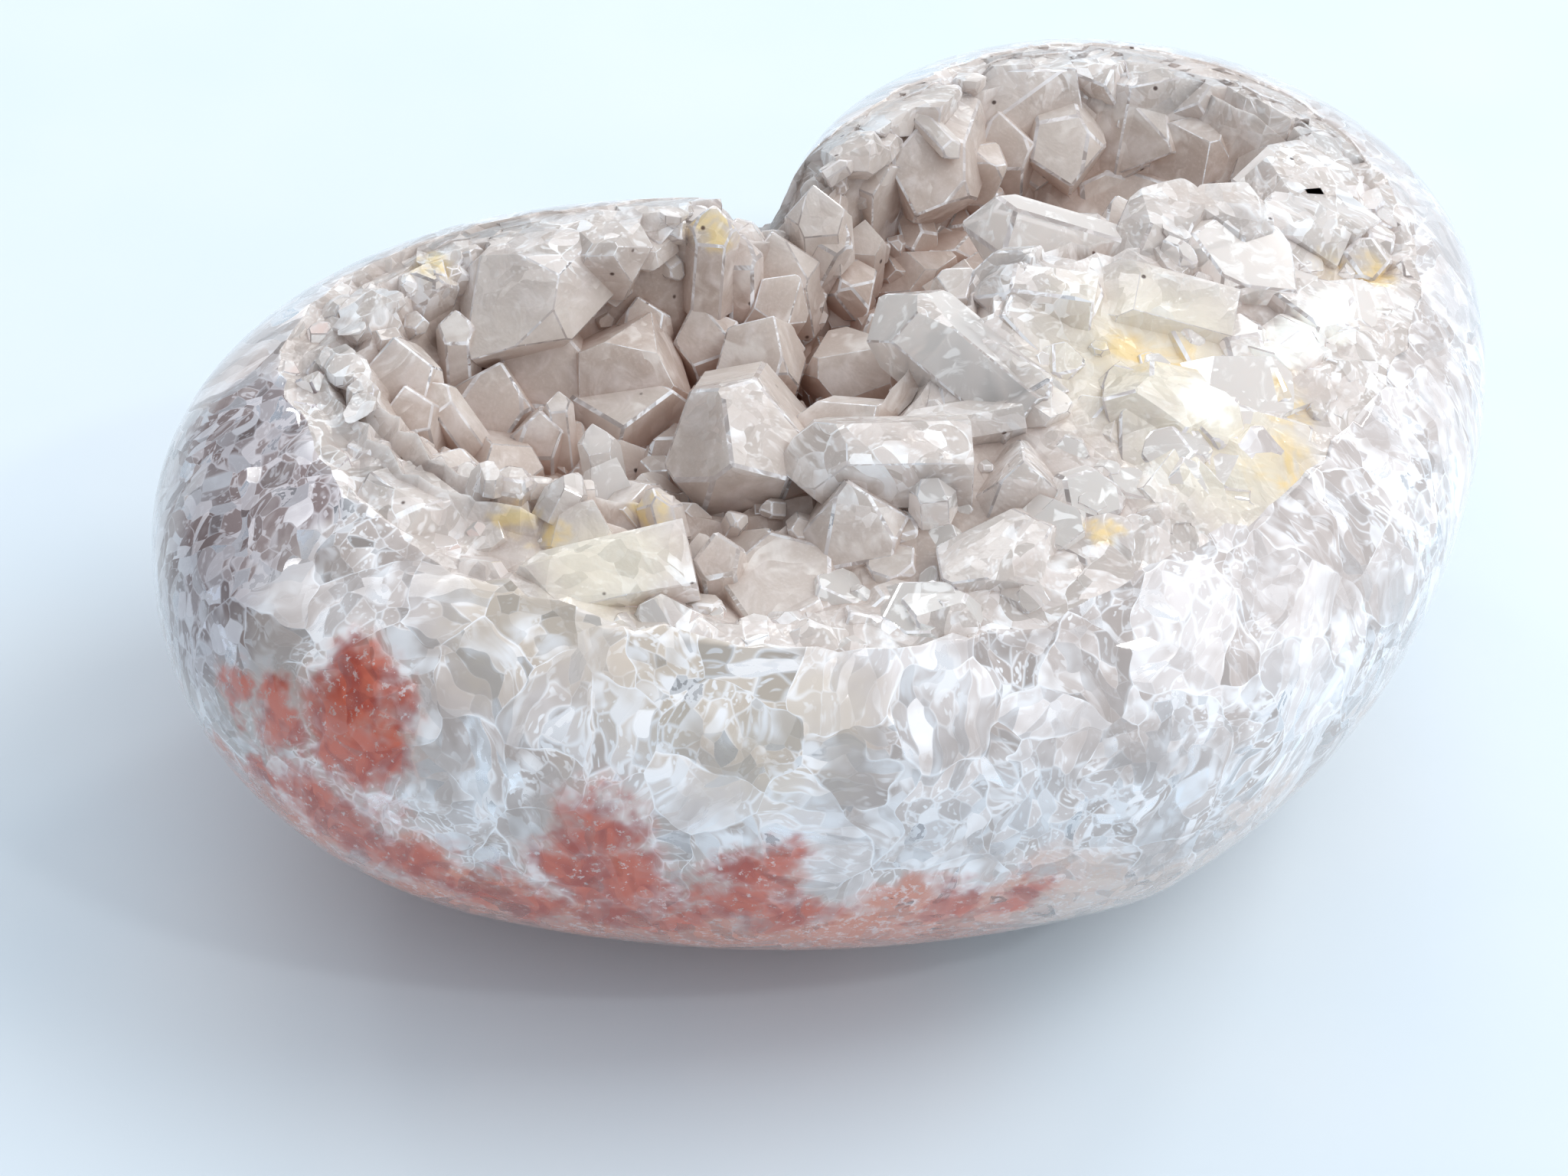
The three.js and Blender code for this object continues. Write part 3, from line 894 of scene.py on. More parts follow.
@dataclass(frozen=True)
class Seen:
    """A crystal that the photograph shows, given as it is seen.

    tip: pixel of its point; heading: angle in the picture from root to point; lean: degrees
    that it points out of the picture; length: millimetres that stand free of the natural
    surface; turn: degrees from the viewer to its largest end face; drop: depth of its point
    below the crown, where it isn't told by the surface that it grows from; end_on: lean past
    which it is seen along its axis; buried: radii of it that are hidden in the surface.
    """

    tip: Pixel
    heading: float
    lean: float
    radius: float
    length: float
    turn: float = 0.0
    blunt: float = 0.0
    tone: float = 0.5
    grain: Grain = Grain.SATIN
    drop: float | None = None
    end_on: float = 75.0
    buried: float = 1.2

    def crystal(self, view: Viewpoint, bed: "Bed") -> Crystal:
        """The crystal in the model's frame, rooted in the natural surface.

        Args:
            view: Where the photograph was taken from.
            bed: Surface that it grows from.

        Returns:
            The crystal, standing where the pixel shows it.
        """
        axis = view.toward(self.heading, self.lean)
        if self.drop is None:
            run = self.length * math.cos(math.radians(self.lean))
            top = bed.seen_at(view, view.shifted(self.tip, self.heading, -run)) + axis * self.length
            ray = view.ray(self.tip)
            tip = view.eye() + ray * ((top - view.eye()) @ ray)
        else:
            tip = bed.crown.below(view, self.tip, self.drop)
        reference = view.axes()[2] if abs(self.lean) < self.end_on else view.axes()[1]
        side = np.cross(axis, reference)
        side /= np.linalg.norm(side)
        front = np.cross(side, axis)
        angle = math.radians(self.turn)
        lead = front * math.cos(angle) + side * math.sin(angle)
        return Crystal(
            tip, axis, self.radius, self.length + self.buried * self.radius, lead,
            blunt=self.blunt, tone=self.tone, grain=self.grain,
        )


class Zone(Enum):
    """Parts of the natural surface."""

    POCKET = "pocket"
    MASSIVE = "massive"
    SHELF = "shelf"
    RIM = "rim"


@dataclass(frozen=True)
class Growth:
    """How crystals crowd one part of the natural surface.

    spacing, radius and headroom are in millimetres, and rise is in radii. slant is the angle
    between the crystal and the surface's normal: near 52 degrees an end face lies flat.
    """

    spacing: float
    radius: tuple[float, float]
    rise: tuple[float, float]
    slant: tuple[float, float]
    blunt: float = 0.2
    tone: tuple[float, float] = (0.2, 0.8)
    clear_share: float = 0.0
    headroom: float = 0.15


def part_way(ends: tuple[float, float], share: float) -> float:
    """Number between two others, at a share of the way from the first."""
    return ends[0] + (ends[1] - ends[0]) * share


class Bed:
    """The natural surface that crystals stand on."""

    def __init__(self, hollow: Hollow, crown: Crown, lining: float) -> None:
        """Keeps the trough and the shelf as triangles that places are drawn from.

        Args:
            hollow: Shape of the trough and shelf.
            crown: Height of the polished crown.
            lining: Thickness of the crust in millimetres.
        """
        self.crown = crown
        trough = hollow.tool(crown, lining, False)
        whole = hollow.tool(crown, 0.0, True)
        size = len(hollow.stations) * hollow.splits
        walls, shelf = hollow.wall_rows, hollow.shelf_rows
        corners, inside = [], []
        for solid, first, last in ((trough, 0, walls), (whole, walls, walls + shelf)):
            mesh = solid.data
            points = np.array([v.co for v in mesh.vertices])
            for face in list(mesh.polygons)[first * size : last * size]:
                a, b, c, d = points[list(face.vertices)]
                corners.extend([(a, b, c), (a, c, d)])
                inside.extend([solid is trough] * 2)
        floor = np.array([v.co for v in trough.data.vertices])[:size]
        for k in range(size):
            corners.append((floor.mean(axis=0), floor[(k + 1) % size], floor[k]))
            inside.append(True)
        self.corners = np.array(corners)
        self.inside = np.array(inside)
        first, second, third = self.corners.transpose(1, 0, 2)
        across = np.cross(second - first, third - first)
        areas = np.linalg.norm(across, axis=1)
        self.normals = -across / areas[:, None]
        self.share = np.cumsum(areas) / areas.sum()
        vertices = self.corners.reshape(-1, 3).tolist()
        faces = [(3 * k, 3 * k + 1, 3 * k + 2) for k in range(len(corners))]
        self.tree = BVHTree.FromPolygons(vertices, faces)

    def draw(self, rng: np.random.Generator) -> tuple[np.ndarray, np.ndarray, bool]:
        """A random place, evenly spread over the surface.

        Args:
            rng: Source of the place.

        Returns:
            Point, outward normal and whether it is in the trough.
        """
        k = int(np.searchsorted(self.share, rng.uniform()))
        u, v = rng.uniform(size=2)
        if u + v > 1:
            u, v = 1 - u, 1 - v
        a, b, c = self.corners[k]
        return a + (b - a) * u + (c - a) * v, self.normals[k], bool(self.inside[k])

    def seen_at(self, view: Viewpoint, pixel: Pixel) -> np.ndarray:
        """Place of the surface that a pixel shows.

        Args:
            view: Where the photograph was taken from.
            pixel: Column and row in it.

        Returns:
            The place, or the nearest one where the pixel misses the surface.
        """
        ray = view.ray(pixel)
        hit = self.tree.ray_cast(Vector(view.eye()), Vector(ray))[0]
        if hit is None:
            beside = view.eye() + ray * view.distance
            hit = self.tree.find_nearest(Vector(beside))[0]
        return np.array(hit)


@dataclass
class Druse:
    """Crystals of the natural surface: those that the photograph names, and a fill between.

    The shares are of a crystal's length or radius: room is what a named one keeps free of the
    fill, and shown is what nothing may stand before. rim and massive are the places in plan
    where those zones start.
    """

    view: Viewpoint
    crown: Crown
    bed: Bed
    growth: dict[Zone, tuple[Growth, ...]]
    seen: dict[str, Seen]
    shelf_seen: frozenset[str]
    seed: int = 41
    tries: int = 7000
    berth: float = 0.45
    seen_headroom: float = 0.15
    fill_headroom: float = 0.2
    room_shares: tuple[float, ...] = (0.2, 0.5)
    room_radius: float = 0.8
    shown_length: float = 0.75
    shown_radius: float = 0.6
    shown_points: int = 5
    middle_rise: float = 0.6
    buried: float = 1.6
    fill_uneven: float = 0.5
    lead_tilt: float = 0.3
    upright: Triple = (0.3, 0.2, 0.9)
    rim: tuple[float, float] = (33.0, 8.0)
    massive: tuple[float, float] = (21.0, 4.0)
    in_trough: list[Crystal] = field(default_factory=list)
    on_shelf: list[Crystal] = field(default_factory=list)
    shown: list[tuple[np.ndarray, np.ndarray, float]] = field(default_factory=list)

    def zone(self, point: np.ndarray, inside: bool) -> Zone:
        """Part of the surface that a point belongs to.

        Args:
            point: Place on the surface.
            inside: Whether it is in the trough.

        Returns:
            The part.
        """
        if not inside:
            return Zone.RIM if point[0] > self.rim[0] or point[1] > self.rim[1] else Zone.SHELF
        massive = point[0] > self.massive[0] and point[1] > self.massive[1]
        return Zone.MASSIVE if massive else Zone.POCKET

    def place_seen(self) -> tuple[np.ndarray, np.ndarray]:
        """Places the crystals that the photograph names.

        Returns:
            Centres and radii of the room that they take.
        """
        spots, reaches = [], []
        for name, seen in self.seen.items():
            crystal = seen.crystal(self.view, self.bed)
            excess = max(0.0, crystal.above(self.crown, self.seen_headroom))
            crystal = replace(crystal, tip=crystal.tip - np.array([0, 0, excess]))
            root = crystal.tip - crystal.axis * seen.length * self.shown_length
            self.shown.append((crystal.tip, root, crystal.radius * self.shown_radius))
            for share in self.room_shares:
                spots.append(crystal.tip - crystal.axis * seen.length * share)
                reaches.append(crystal.radius * self.room_radius)
            (self.on_shelf if name in self.shelf_seen else self.in_trough).append(crystal)
        return np.array(spots), np.array(reaches)

    def grow(self) -> None:
        """Places every crystal, the named ones first."""
        spots, reaches = self.place_seen()
        rng = np.random.default_rng(self.seed)
        for step in range(max(len(g) for g in self.growth.values())):
            crowd = np.zeros((0, 3))
            for _ in range(self.tries):
                point, normal, inside = self.bed.draw(rng)
                draws = rng.uniform(size=8)
                steps = self.growth[self.zone(point, inside)]
                ceiling = self.crown.height(point[0], point[1]) - self.fill_headroom
                if step >= len(steps) or point[2] > ceiling:
                    continue
                growth = steps[step]
                if len(crowd) and np.linalg.norm(crowd - point, axis=1).min() < growth.spacing:
                    continue
                radius = part_way(growth.radius, draws[0])
                rise = radius * part_way(growth.rise, draws[1])
                middle = point + normal * rise * self.middle_rise
                if (np.linalg.norm(spots - middle, axis=1) < reaches).any():
                    continue
                crowd = np.vstack([crowd, point])
                self.plant(point, normal, radius, rise, growth, inside, draws)

    def plant(
        self, point: np.ndarray, normal: np.ndarray, radius: float, rise: float,
        growth: Growth, inside: bool, draws: np.ndarray,
    ) -> None:
        """Sets one crystal of the fill.

        Args:
            point: Place on the natural surface.
            normal: Surface normal there.
            radius: Half width of the crystal.
            rise: Height of its tip above the surface.
            growth: Habit of the crystals there.
            inside: Whether it stands in the trough.
            draws: Random numbers of this crystal, 0 to 1.
        """
        around = math.tau * draws[2]
        slant = math.radians(part_way(growth.slant, draws[3]))
        first = np.cross(normal, self.upright)
        first /= np.linalg.norm(first)
        across = first * math.cos(around) + np.cross(normal, first) * math.sin(around)
        axis = normal * math.cos(slant) + across * math.sin(slant)
        tip = point + normal * rise + across * radius * math.sin(slant)
        crystal = Crystal(
            tip, axis, radius, rise + self.buried * radius, normal - self.lead_tilt * across,
            blunt=growth.blunt * draws[7],
            uneven=self.fill_uneven,
            tone=part_way(growth.tone, draws[5]),
            grain=Grain.CLEAR if draws[6] < growth.clear_share else Grain.SATIN,
        )
        excess = max(0.0, crystal.above(self.crown, growth.headroom))
        crystal = replace(crystal, tip=tip - normal * excess)
        if not self.hides_seen(crystal):
            (self.in_trough if inside else self.on_shelf).append(crystal)

    def hides_seen(self, crystal: Crystal) -> bool:
        """Whether a crystal of the fill would stand before one that the photograph shows.

        Args:
            crystal: The one of the fill.

        Returns:
            True where it would.
        """
        eye = self.view.eye()
        away = crystal.tip - eye
        distance = np.linalg.norm(away)
        sight = away / distance
        for start, stop, radius in self.shown:
            span = stop - start
            for share in np.linspace(0.0, 1.0, self.shown_points):
                spot = start + span * share - eye
                along = spot @ sight
                aside = np.linalg.norm(spot - sight * along)
                if aside < radius + self.berth * crystal.radius and along > distance - radius:
                    return True
        return False


# Pieces


def joined_crystals(crystals: Sequence[Crystal], seed: int) -> bpy.types.Object:
    """Crystals grown into one solid.

    Args:
        crystals: What is joined.
        seed: Seed of the small differences between faces.

    Returns:
        The solid.
    """
    rng = np.random.default_rng(seed)
    solids = [crystal.solid(rng) for crystal in crystals]
    return combined(solids[0], solids[1:], Cut.JOIN)


@dataclass
class Piece:
    """One piece of the stone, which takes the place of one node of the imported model."""

    envelope: Envelope
    crown: Crown
    hollow: Hollow
    druse: Druse
    name: str
    node: str
    slot: str
    skin_gap: float = 0.12

    def trimmed(self, solid: bpy.types.Object) -> bpy.types.Object:
        """The solid cut off level just under the polished skin."""
        return combined(solid, [self.envelope.skin(-self.skin_gap, Grain.SATIN)], Cut.KEEP_INSIDE)

    def finish(self, solid: bpy.types.Object, materials: Sequence[bpy.types.Material]) -> None:
        """Args:
            solid: The solid.
            materials: One for each kind of surface.
        """
        mesh = solid.data
        points = np.array([v.co for v in mesh.vertices])
        depth = self.crown.height(points[:, 0], points[:, 1]) - points[:, 2]
        deep = mesh.attributes.new("deep", "FLOAT", "POINT")
        deep.data.foreach_set("value", depth.astype(np.float32))
        solid.name = self.name
        mesh.name = self.name
        mesh.transform(Matrix.Scale(MM, 4))
        for number, material in enumerate(materials):
            mesh.materials[number] = material
        bpy.context.scene.collection.objects.link(solid)
        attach(solid, "root")
        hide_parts(self.node)
        LOG.info("%s: %d faces", self.name, len(mesh.polygons))


@dataclass
class PolishedStone(Piece):
    """The stone: its polished skin and the broken natural shelf beside the hollow."""

    name: str = "polished_heart"
    node: str = "polished_stone"
    slot: str = "polished_quartz"
    seed: int = 7

    def solid(self) -> bpy.types.Object:
        """Shapes the stone.

        Returns:
            The solid in millimetres.
        """
        body = self.envelope.skin()
        combined(body, [self.hollow.tool(self.crown, 0.0, True)], Cut.REMOVE)
        shelf = self.trimmed(joined_crystals(self.druse.on_shelf, self.seed))
        combined(body, [shelf], Cut.JOIN)
        keep_main_body(body)
        return body


@dataclass
class CrystalCrust(Piece):
    """Crust of crystals that lines the hollow."""

    name: str = "crystal_lining"
    node: str = "crystal_crust"
    slot: str = "quartz_druse"
    gap: float = 0.05
    lining: float = 1.2
    seed: int = 19

    def solid(self, stone: bpy.types.Object) -> bpy.types.Object:
        """Shapes the crust, clear of the stone.

        Args:
            stone: The stone in millimetres.

        Returns:
            The solid in millimetres.
        """
        crust = self.hollow.bowl(self.crown, self.gap, self.lining)
        combined(crust, [joined_crystals(self.druse.in_trough, self.seed)], Cut.JOIN)
        self.trimmed(crust)
        combined(crust, [copied(stone)], Cut.REMOVE)
        keep_main_body(crust)
        return crust


# Finishes


class Band(NamedTuple):
    """Range of a number, and what its two ends are turned into."""

    low: float
    high: float
    start: float = 0.0
    end: float = 1.0


class Graph:
    """Short way of writing the nodes of a material."""

    def __init__(self, name: str, owner: bpy.types.World | None = None) -> None:
        """Starts an empty material.

        Args:
            name: Name of the material.
            owner: World that gets the nodes instead of a new material.
        """
        self.material = owner or bpy.data.materials.new(name)
        self.material.use_nodes = True
        self.tree = self.material.node_tree
        self.tree.nodes.clear()

    def add(self, kind: str, inputs: dict | None = None, **settings) -> bpy.types.Node:
        """Adds a node.

        Args:
            kind: Type of the node, without its ShaderNode prefix.
            inputs: Values or sockets for its inputs, by name or number.
            settings: Properties of the node.

        Returns:
            The node.
        """
        node = self.tree.nodes.new("ShaderNode" + kind)
        for key, value in settings.items():
            setattr(node, key, value)
        for key, value in (inputs or {}).items():
            socket = node.inputs[key]
            if isinstance(value, Socket):
                self.tree.links.new(value, socket)
            else:
                socket.default_value = value
        return node

    def math(self, operation: str, a: Number, b: Number = 0.0, clamp: bool = False) -> Socket:
        """Result of a sum on one or two numbers."""
        return self.add("Math", {0: a, 1: b}, operation=operation, use_clamp=clamp).outputs[0]

    def both(self, a: Number, b: Number) -> Socket:
        """Product of two shares."""
        return self.math("MULTIPLY", a, b)

    def either(self, a: Number, b: Number) -> Socket:
        """Larger of two shares."""
        return self.math("MAXIMUM", a, b)

    def vector(self, operation: str, a: Place, b: Place = (0, 0, 0), scale: Number = 1.0) -> Socket:
        """Result of a sum on one or two vectors.

        Args:
            operation: Name of the sum.
            a: First vector.
            b: Second vector.
            scale: Number that a SCALE multiplies by.

        Returns:
            The result's socket.
        """
        node = self.add("VectorMath", {0: a, 1: b, 3: scale}, operation=operation)
        return node.outputs["Value" if operation in ("DISTANCE", "LENGTH", "DOT_PRODUCT") else "Vector"]

    def wander(self, colour: Socket, reach: Number) -> Socket:
        """Random colour as a shift to any side, up to half the reach."""
        return self.vector("SCALE", self.vector("SUBTRACT", colour, (0.5, 0.5, 0.5)), scale=reach)

    def ramp(
        self, value: Number, low: Number, high: Number, start: Number = 0.0, end: Number = 1.0
    ) -> Socket:
        """Number moved smoothly from one range to another, held at its ends.

        Args:
            value: The number.
            low: Value that gives the start.
            high: Value that gives the end.
            start: Result at the low value.
            end: Result at the high value.

        Returns:
            The result's socket.
        """
        inputs = {"Value": value, "From Min": low, "From Max": high, "To Min": start, "To Max": end}
        return self.add("MapRange", inputs, interpolation_type="SMOOTHSTEP").outputs["Result"]

    def mix(self, share: Number, a: Place, b: Place) -> Socket:
        """Colour between two others.

        Args:
            share: How much of the second there is.
            a: First colour.
            b: Second colour.

        Returns:
            The colour's socket.
        """
        node = self.add("Mix", data_type="RGBA")
        for index, value in ((0, share), (6, a), (7, b)):
            if isinstance(value, Socket):
                self.tree.links.new(value, node.inputs[index])
            elif index:
                node.inputs[index].default_value = (*value, 1.0)
            else:
                node.inputs[index].default_value = value
        return node.outputs[2]

    def noise(
        self, where: Place, scale: float, detail: float = 3.0, rough: float = 0.5, swirl: float = 0.0
    ) -> bpy.types.Node:
        """Noise texture.

        Args:
            where: Position in millimetres.
            scale: Features to the millimetre.
            detail: Number of finer layers.
            rough: Strength of each layer, as a share of the one before.
            swirl: How far the noise shifts itself.

        Returns:
            The node.
        """
        inputs = {"Vector": where, "Scale": scale, "Detail": detail, "Roughness": rough}
        return self.add("TexNoise", inputs | {"Distortion": swirl})

    def cells(self, where: Place, scale: float, feature: str = "F1") -> bpy.types.Node:
        """Voronoi cells 1 / scale millimetres across."""
        return self.add("TexVoronoi", {"Vector": where, "Scale": scale}, feature=feature)

    def attribute(self, name: str) -> Socket:
        """Number kept on the mesh."""
        return self.add("Attribute", attribute_name=name).outputs["Fac"]

    def place(self) -> Socket:
        """Position on the piece in millimetres."""
        return self.vector("SCALE", self.add("TexCoord").outputs["Object"], scale=1 / MM)

    def lit_through(self, shader: Socket, colour: Socket) -> Socket:
        """Lets the light of the far side through the inner side, as stone this thin does.

        Args:
            shader: What the outer side shows.
            colour: Colour of the light that comes through.

        Returns:
            The shader's socket.
        """
        inside = self.add("BsdfTranslucent", {"Color": colour})
        behind = self.add("NewGeometry").outputs["Backfacing"]
        return self.add("MixShader", {0: behind, 1: shader, 2: inside.outputs[0]}).outputs[0]

    def output(self, shader: Socket) -> bpy.types.Material:
        """Ends the material with its surface shader."""
        self.add("OutputMaterial", {"Surface": shader})
        return self.material


@dataclass(frozen=True)
class Stain:
    """Coloured patch, placed by the pixel at which the photograph shows it."""

    at: Pixel
    radius: float


Mask = Callable[[Graph, Socket], Socket]
# Share of a stain's radius over which it fades, on either side of its edge.
STAIN_FADE = 0.6


def stain_mask(
    graph: Graph, where: Socket, stains: Iterable[Stain], view: Viewpoint, surface: BVHTree
) -> Socket:
    """Mask that is one in each of several patches.

    Args:
        graph: Material that it belongs to.
        where: Position in millimetres, already roughened so that the patches have broken edges.
        stains: The patches.
        view: Where the photograph was taken from.
        surface: The surface that the patches lie on.

    Returns:
        The mask's socket.
    """
    nearest = 1 + STAIN_FADE
    for stain in stains:
        hit = surface.ray_cast(Vector(view.eye()), Vector(view.ray(stain.at)))[0]
        if hit is None:
            continue
        gap = graph.vector("DISTANCE", where, tuple(hit))
        nearest = graph.math("MINIMUM", nearest, graph.math("DIVIDE", gap, stain.radius))
    return graph.ramp(nearest, 1 - STAIN_FADE, 1 + STAIN_FADE, 1.0, 0.0)


def surface_tree(solids: Iterable[bpy.types.Object]) -> BVHTree:
    """Search tree over the surfaces of several meshes.

    Args:
        solids: The meshes.

    Returns:
        The tree.
    """
    points = []
    faces = []
    for solid in solids:
        start = len(points)
        points += [v.co.copy() for v in solid.data.vertices]
        faces += [[start + i for i in p.vertices] for p in solid.data.polygons]
    return BVHTree.FromPolygons(points, faces)


def srgb(red: float, green: float, blue: float) -> Triple:
    """Colour given as it looks on a screen, 0 to 255, as the renderer's linear values."""
    parts = (v / 255 for v in (red, green, blue))
    return tuple(v / 12.92 if v <= 0.04045 else ((v + 0.055) / 1.055) ** 2.4 for v in parts)


def ragged(g: Graph, where: Socket, broad: float, fine: float) -> Socket:
    """Position shifted by noise, so that what is measured from it has broken edges.

    Args:
        g: The material.
        where: Position in millimetres.
        broad: Reach of the slow shift in millimetres.
        fine: Reach of the quick shift in millimetres.

    Returns:
        The shifted position's socket.
    """
    slow, quick, rough = 0.22, 1.1, 0.6
    total = where
    for scale, reach in ((slow, broad), (quick, fine)):
        shift = g.noise(where, scale, detail=1.0, rough=rough).outputs["Color"]
        total = g.vector("ADD", total, g.wander(shift, reach))
    return total


class Fractures:
    """Inner cracks of quartz: panes that are split into splinters, with white seams and streaks."""

    drift_scale: float = 0.3
    drift_reach: float = 2.4
    scatter: float = 1.4
    patch_scale: float = 0.16
    patch_rough: float = 0.66
    streaks: float = 0.55
    streak_rough: float = 0.62
    fine_streaks: float = 2.6
    fine_rough: float = 0.6
    seam_width: Band = Band(0.42, 0.62, 0.003, 0.035)

    def __init__(
        self, g: Graph, place: Socket, pane: float, chip: float, rise: float, length: float
    ) -> None:
        """Adds the pattern to a material.

        Args:
            g: The material.
            place: Position in millimetres.
            pane: Size of the panes in millimetres.
            chip: Width of the splinters in millimetres.
            rise: How far the splinters stand upright, from 0 where they lie in all directions.
            length: Length of the splinters, in widths.
        """
        drift = g.noise(place, self.drift_scale, detail=1.0).outputs["Color"]
        bent = g.vector("ADD", place, g.wander(drift, self.drift_reach))
        squat = g.vector("MULTIPLY", bent, (1.0, 1.0, 1.0 / (1.0 + rise)))
        self.panes = g.cells(squat, 1 / pane)
        seam = g.cells(squat, 1 / pane, "DISTANCE_TO_EDGE").outputs["Distance"]
        loose = g.wander(self.panes.outputs["Color"], self.scatter)
        way = g.vector("NORMALIZE", g.vector("ADD", loose, (0.0, 0.0, rise)))
        along = g.vector("DOT_PRODUCT", bent, way)
        pull = g.vector("SCALE", way, scale=g.both(along, 1 / length - 1))
        split = g.vector("ADD", bent, pull)
        self.chips = g.cells(split, 1 / chip)
        self.chip_seam = g.cells(split, 1 / chip, "DISTANCE_TO_EDGE").outputs["Distance"]
        self.patch = g.noise(place, self.patch_scale, rough=self.patch_rough).outputs["Fac"]
        fine = g.noise(split, self.fine_streaks / chip, detail=1.0, rough=self.fine_rough)
        self.fine_lines = fine.outputs["Fac"]
        coarse = g.noise(split, self.streaks / chip, detail=2.0, rough=self.streak_rough)
        self.lines = coarse.outputs["Fac"]
        width = g.ramp(self.lines, *self.seam_width)
        self.seams = g.math("SUBTRACT", 1.0, g.math("DIVIDE", seam, width), clamp=True)
        self.pick = g.add("SeparateColor", {0: self.panes.outputs["Color"]}).outputs[0]
        self.chip_pick = g.add("SeparateColor", {0: self.chips.outputs["Color"]}).outputs[1]

    def tilted(self, g: Graph, broad: Number, fine: Number) -> Socket:
        """Surface direction that leans another way in each pane and splinter.

        Args:
            g: The material.
            broad: Lean of the panes.
            fine: Lean of the splinters.

        Returns:
            The direction's socket.
        """
        panes = g.wander(self.panes.outputs["Color"], broad)
        tilt = g.vector("ADD", panes, g.wander(self.chips.outputs["Color"], fine))
        skin = g.add("NewGeometry").outputs["Normal"]
        return g.vector("NORMALIZE", g.vector("ADD", skin, tilt))


QUARTZ_IOR = 1.54
GLOW_SPREAD = (1.0, 0.9, 0.85)


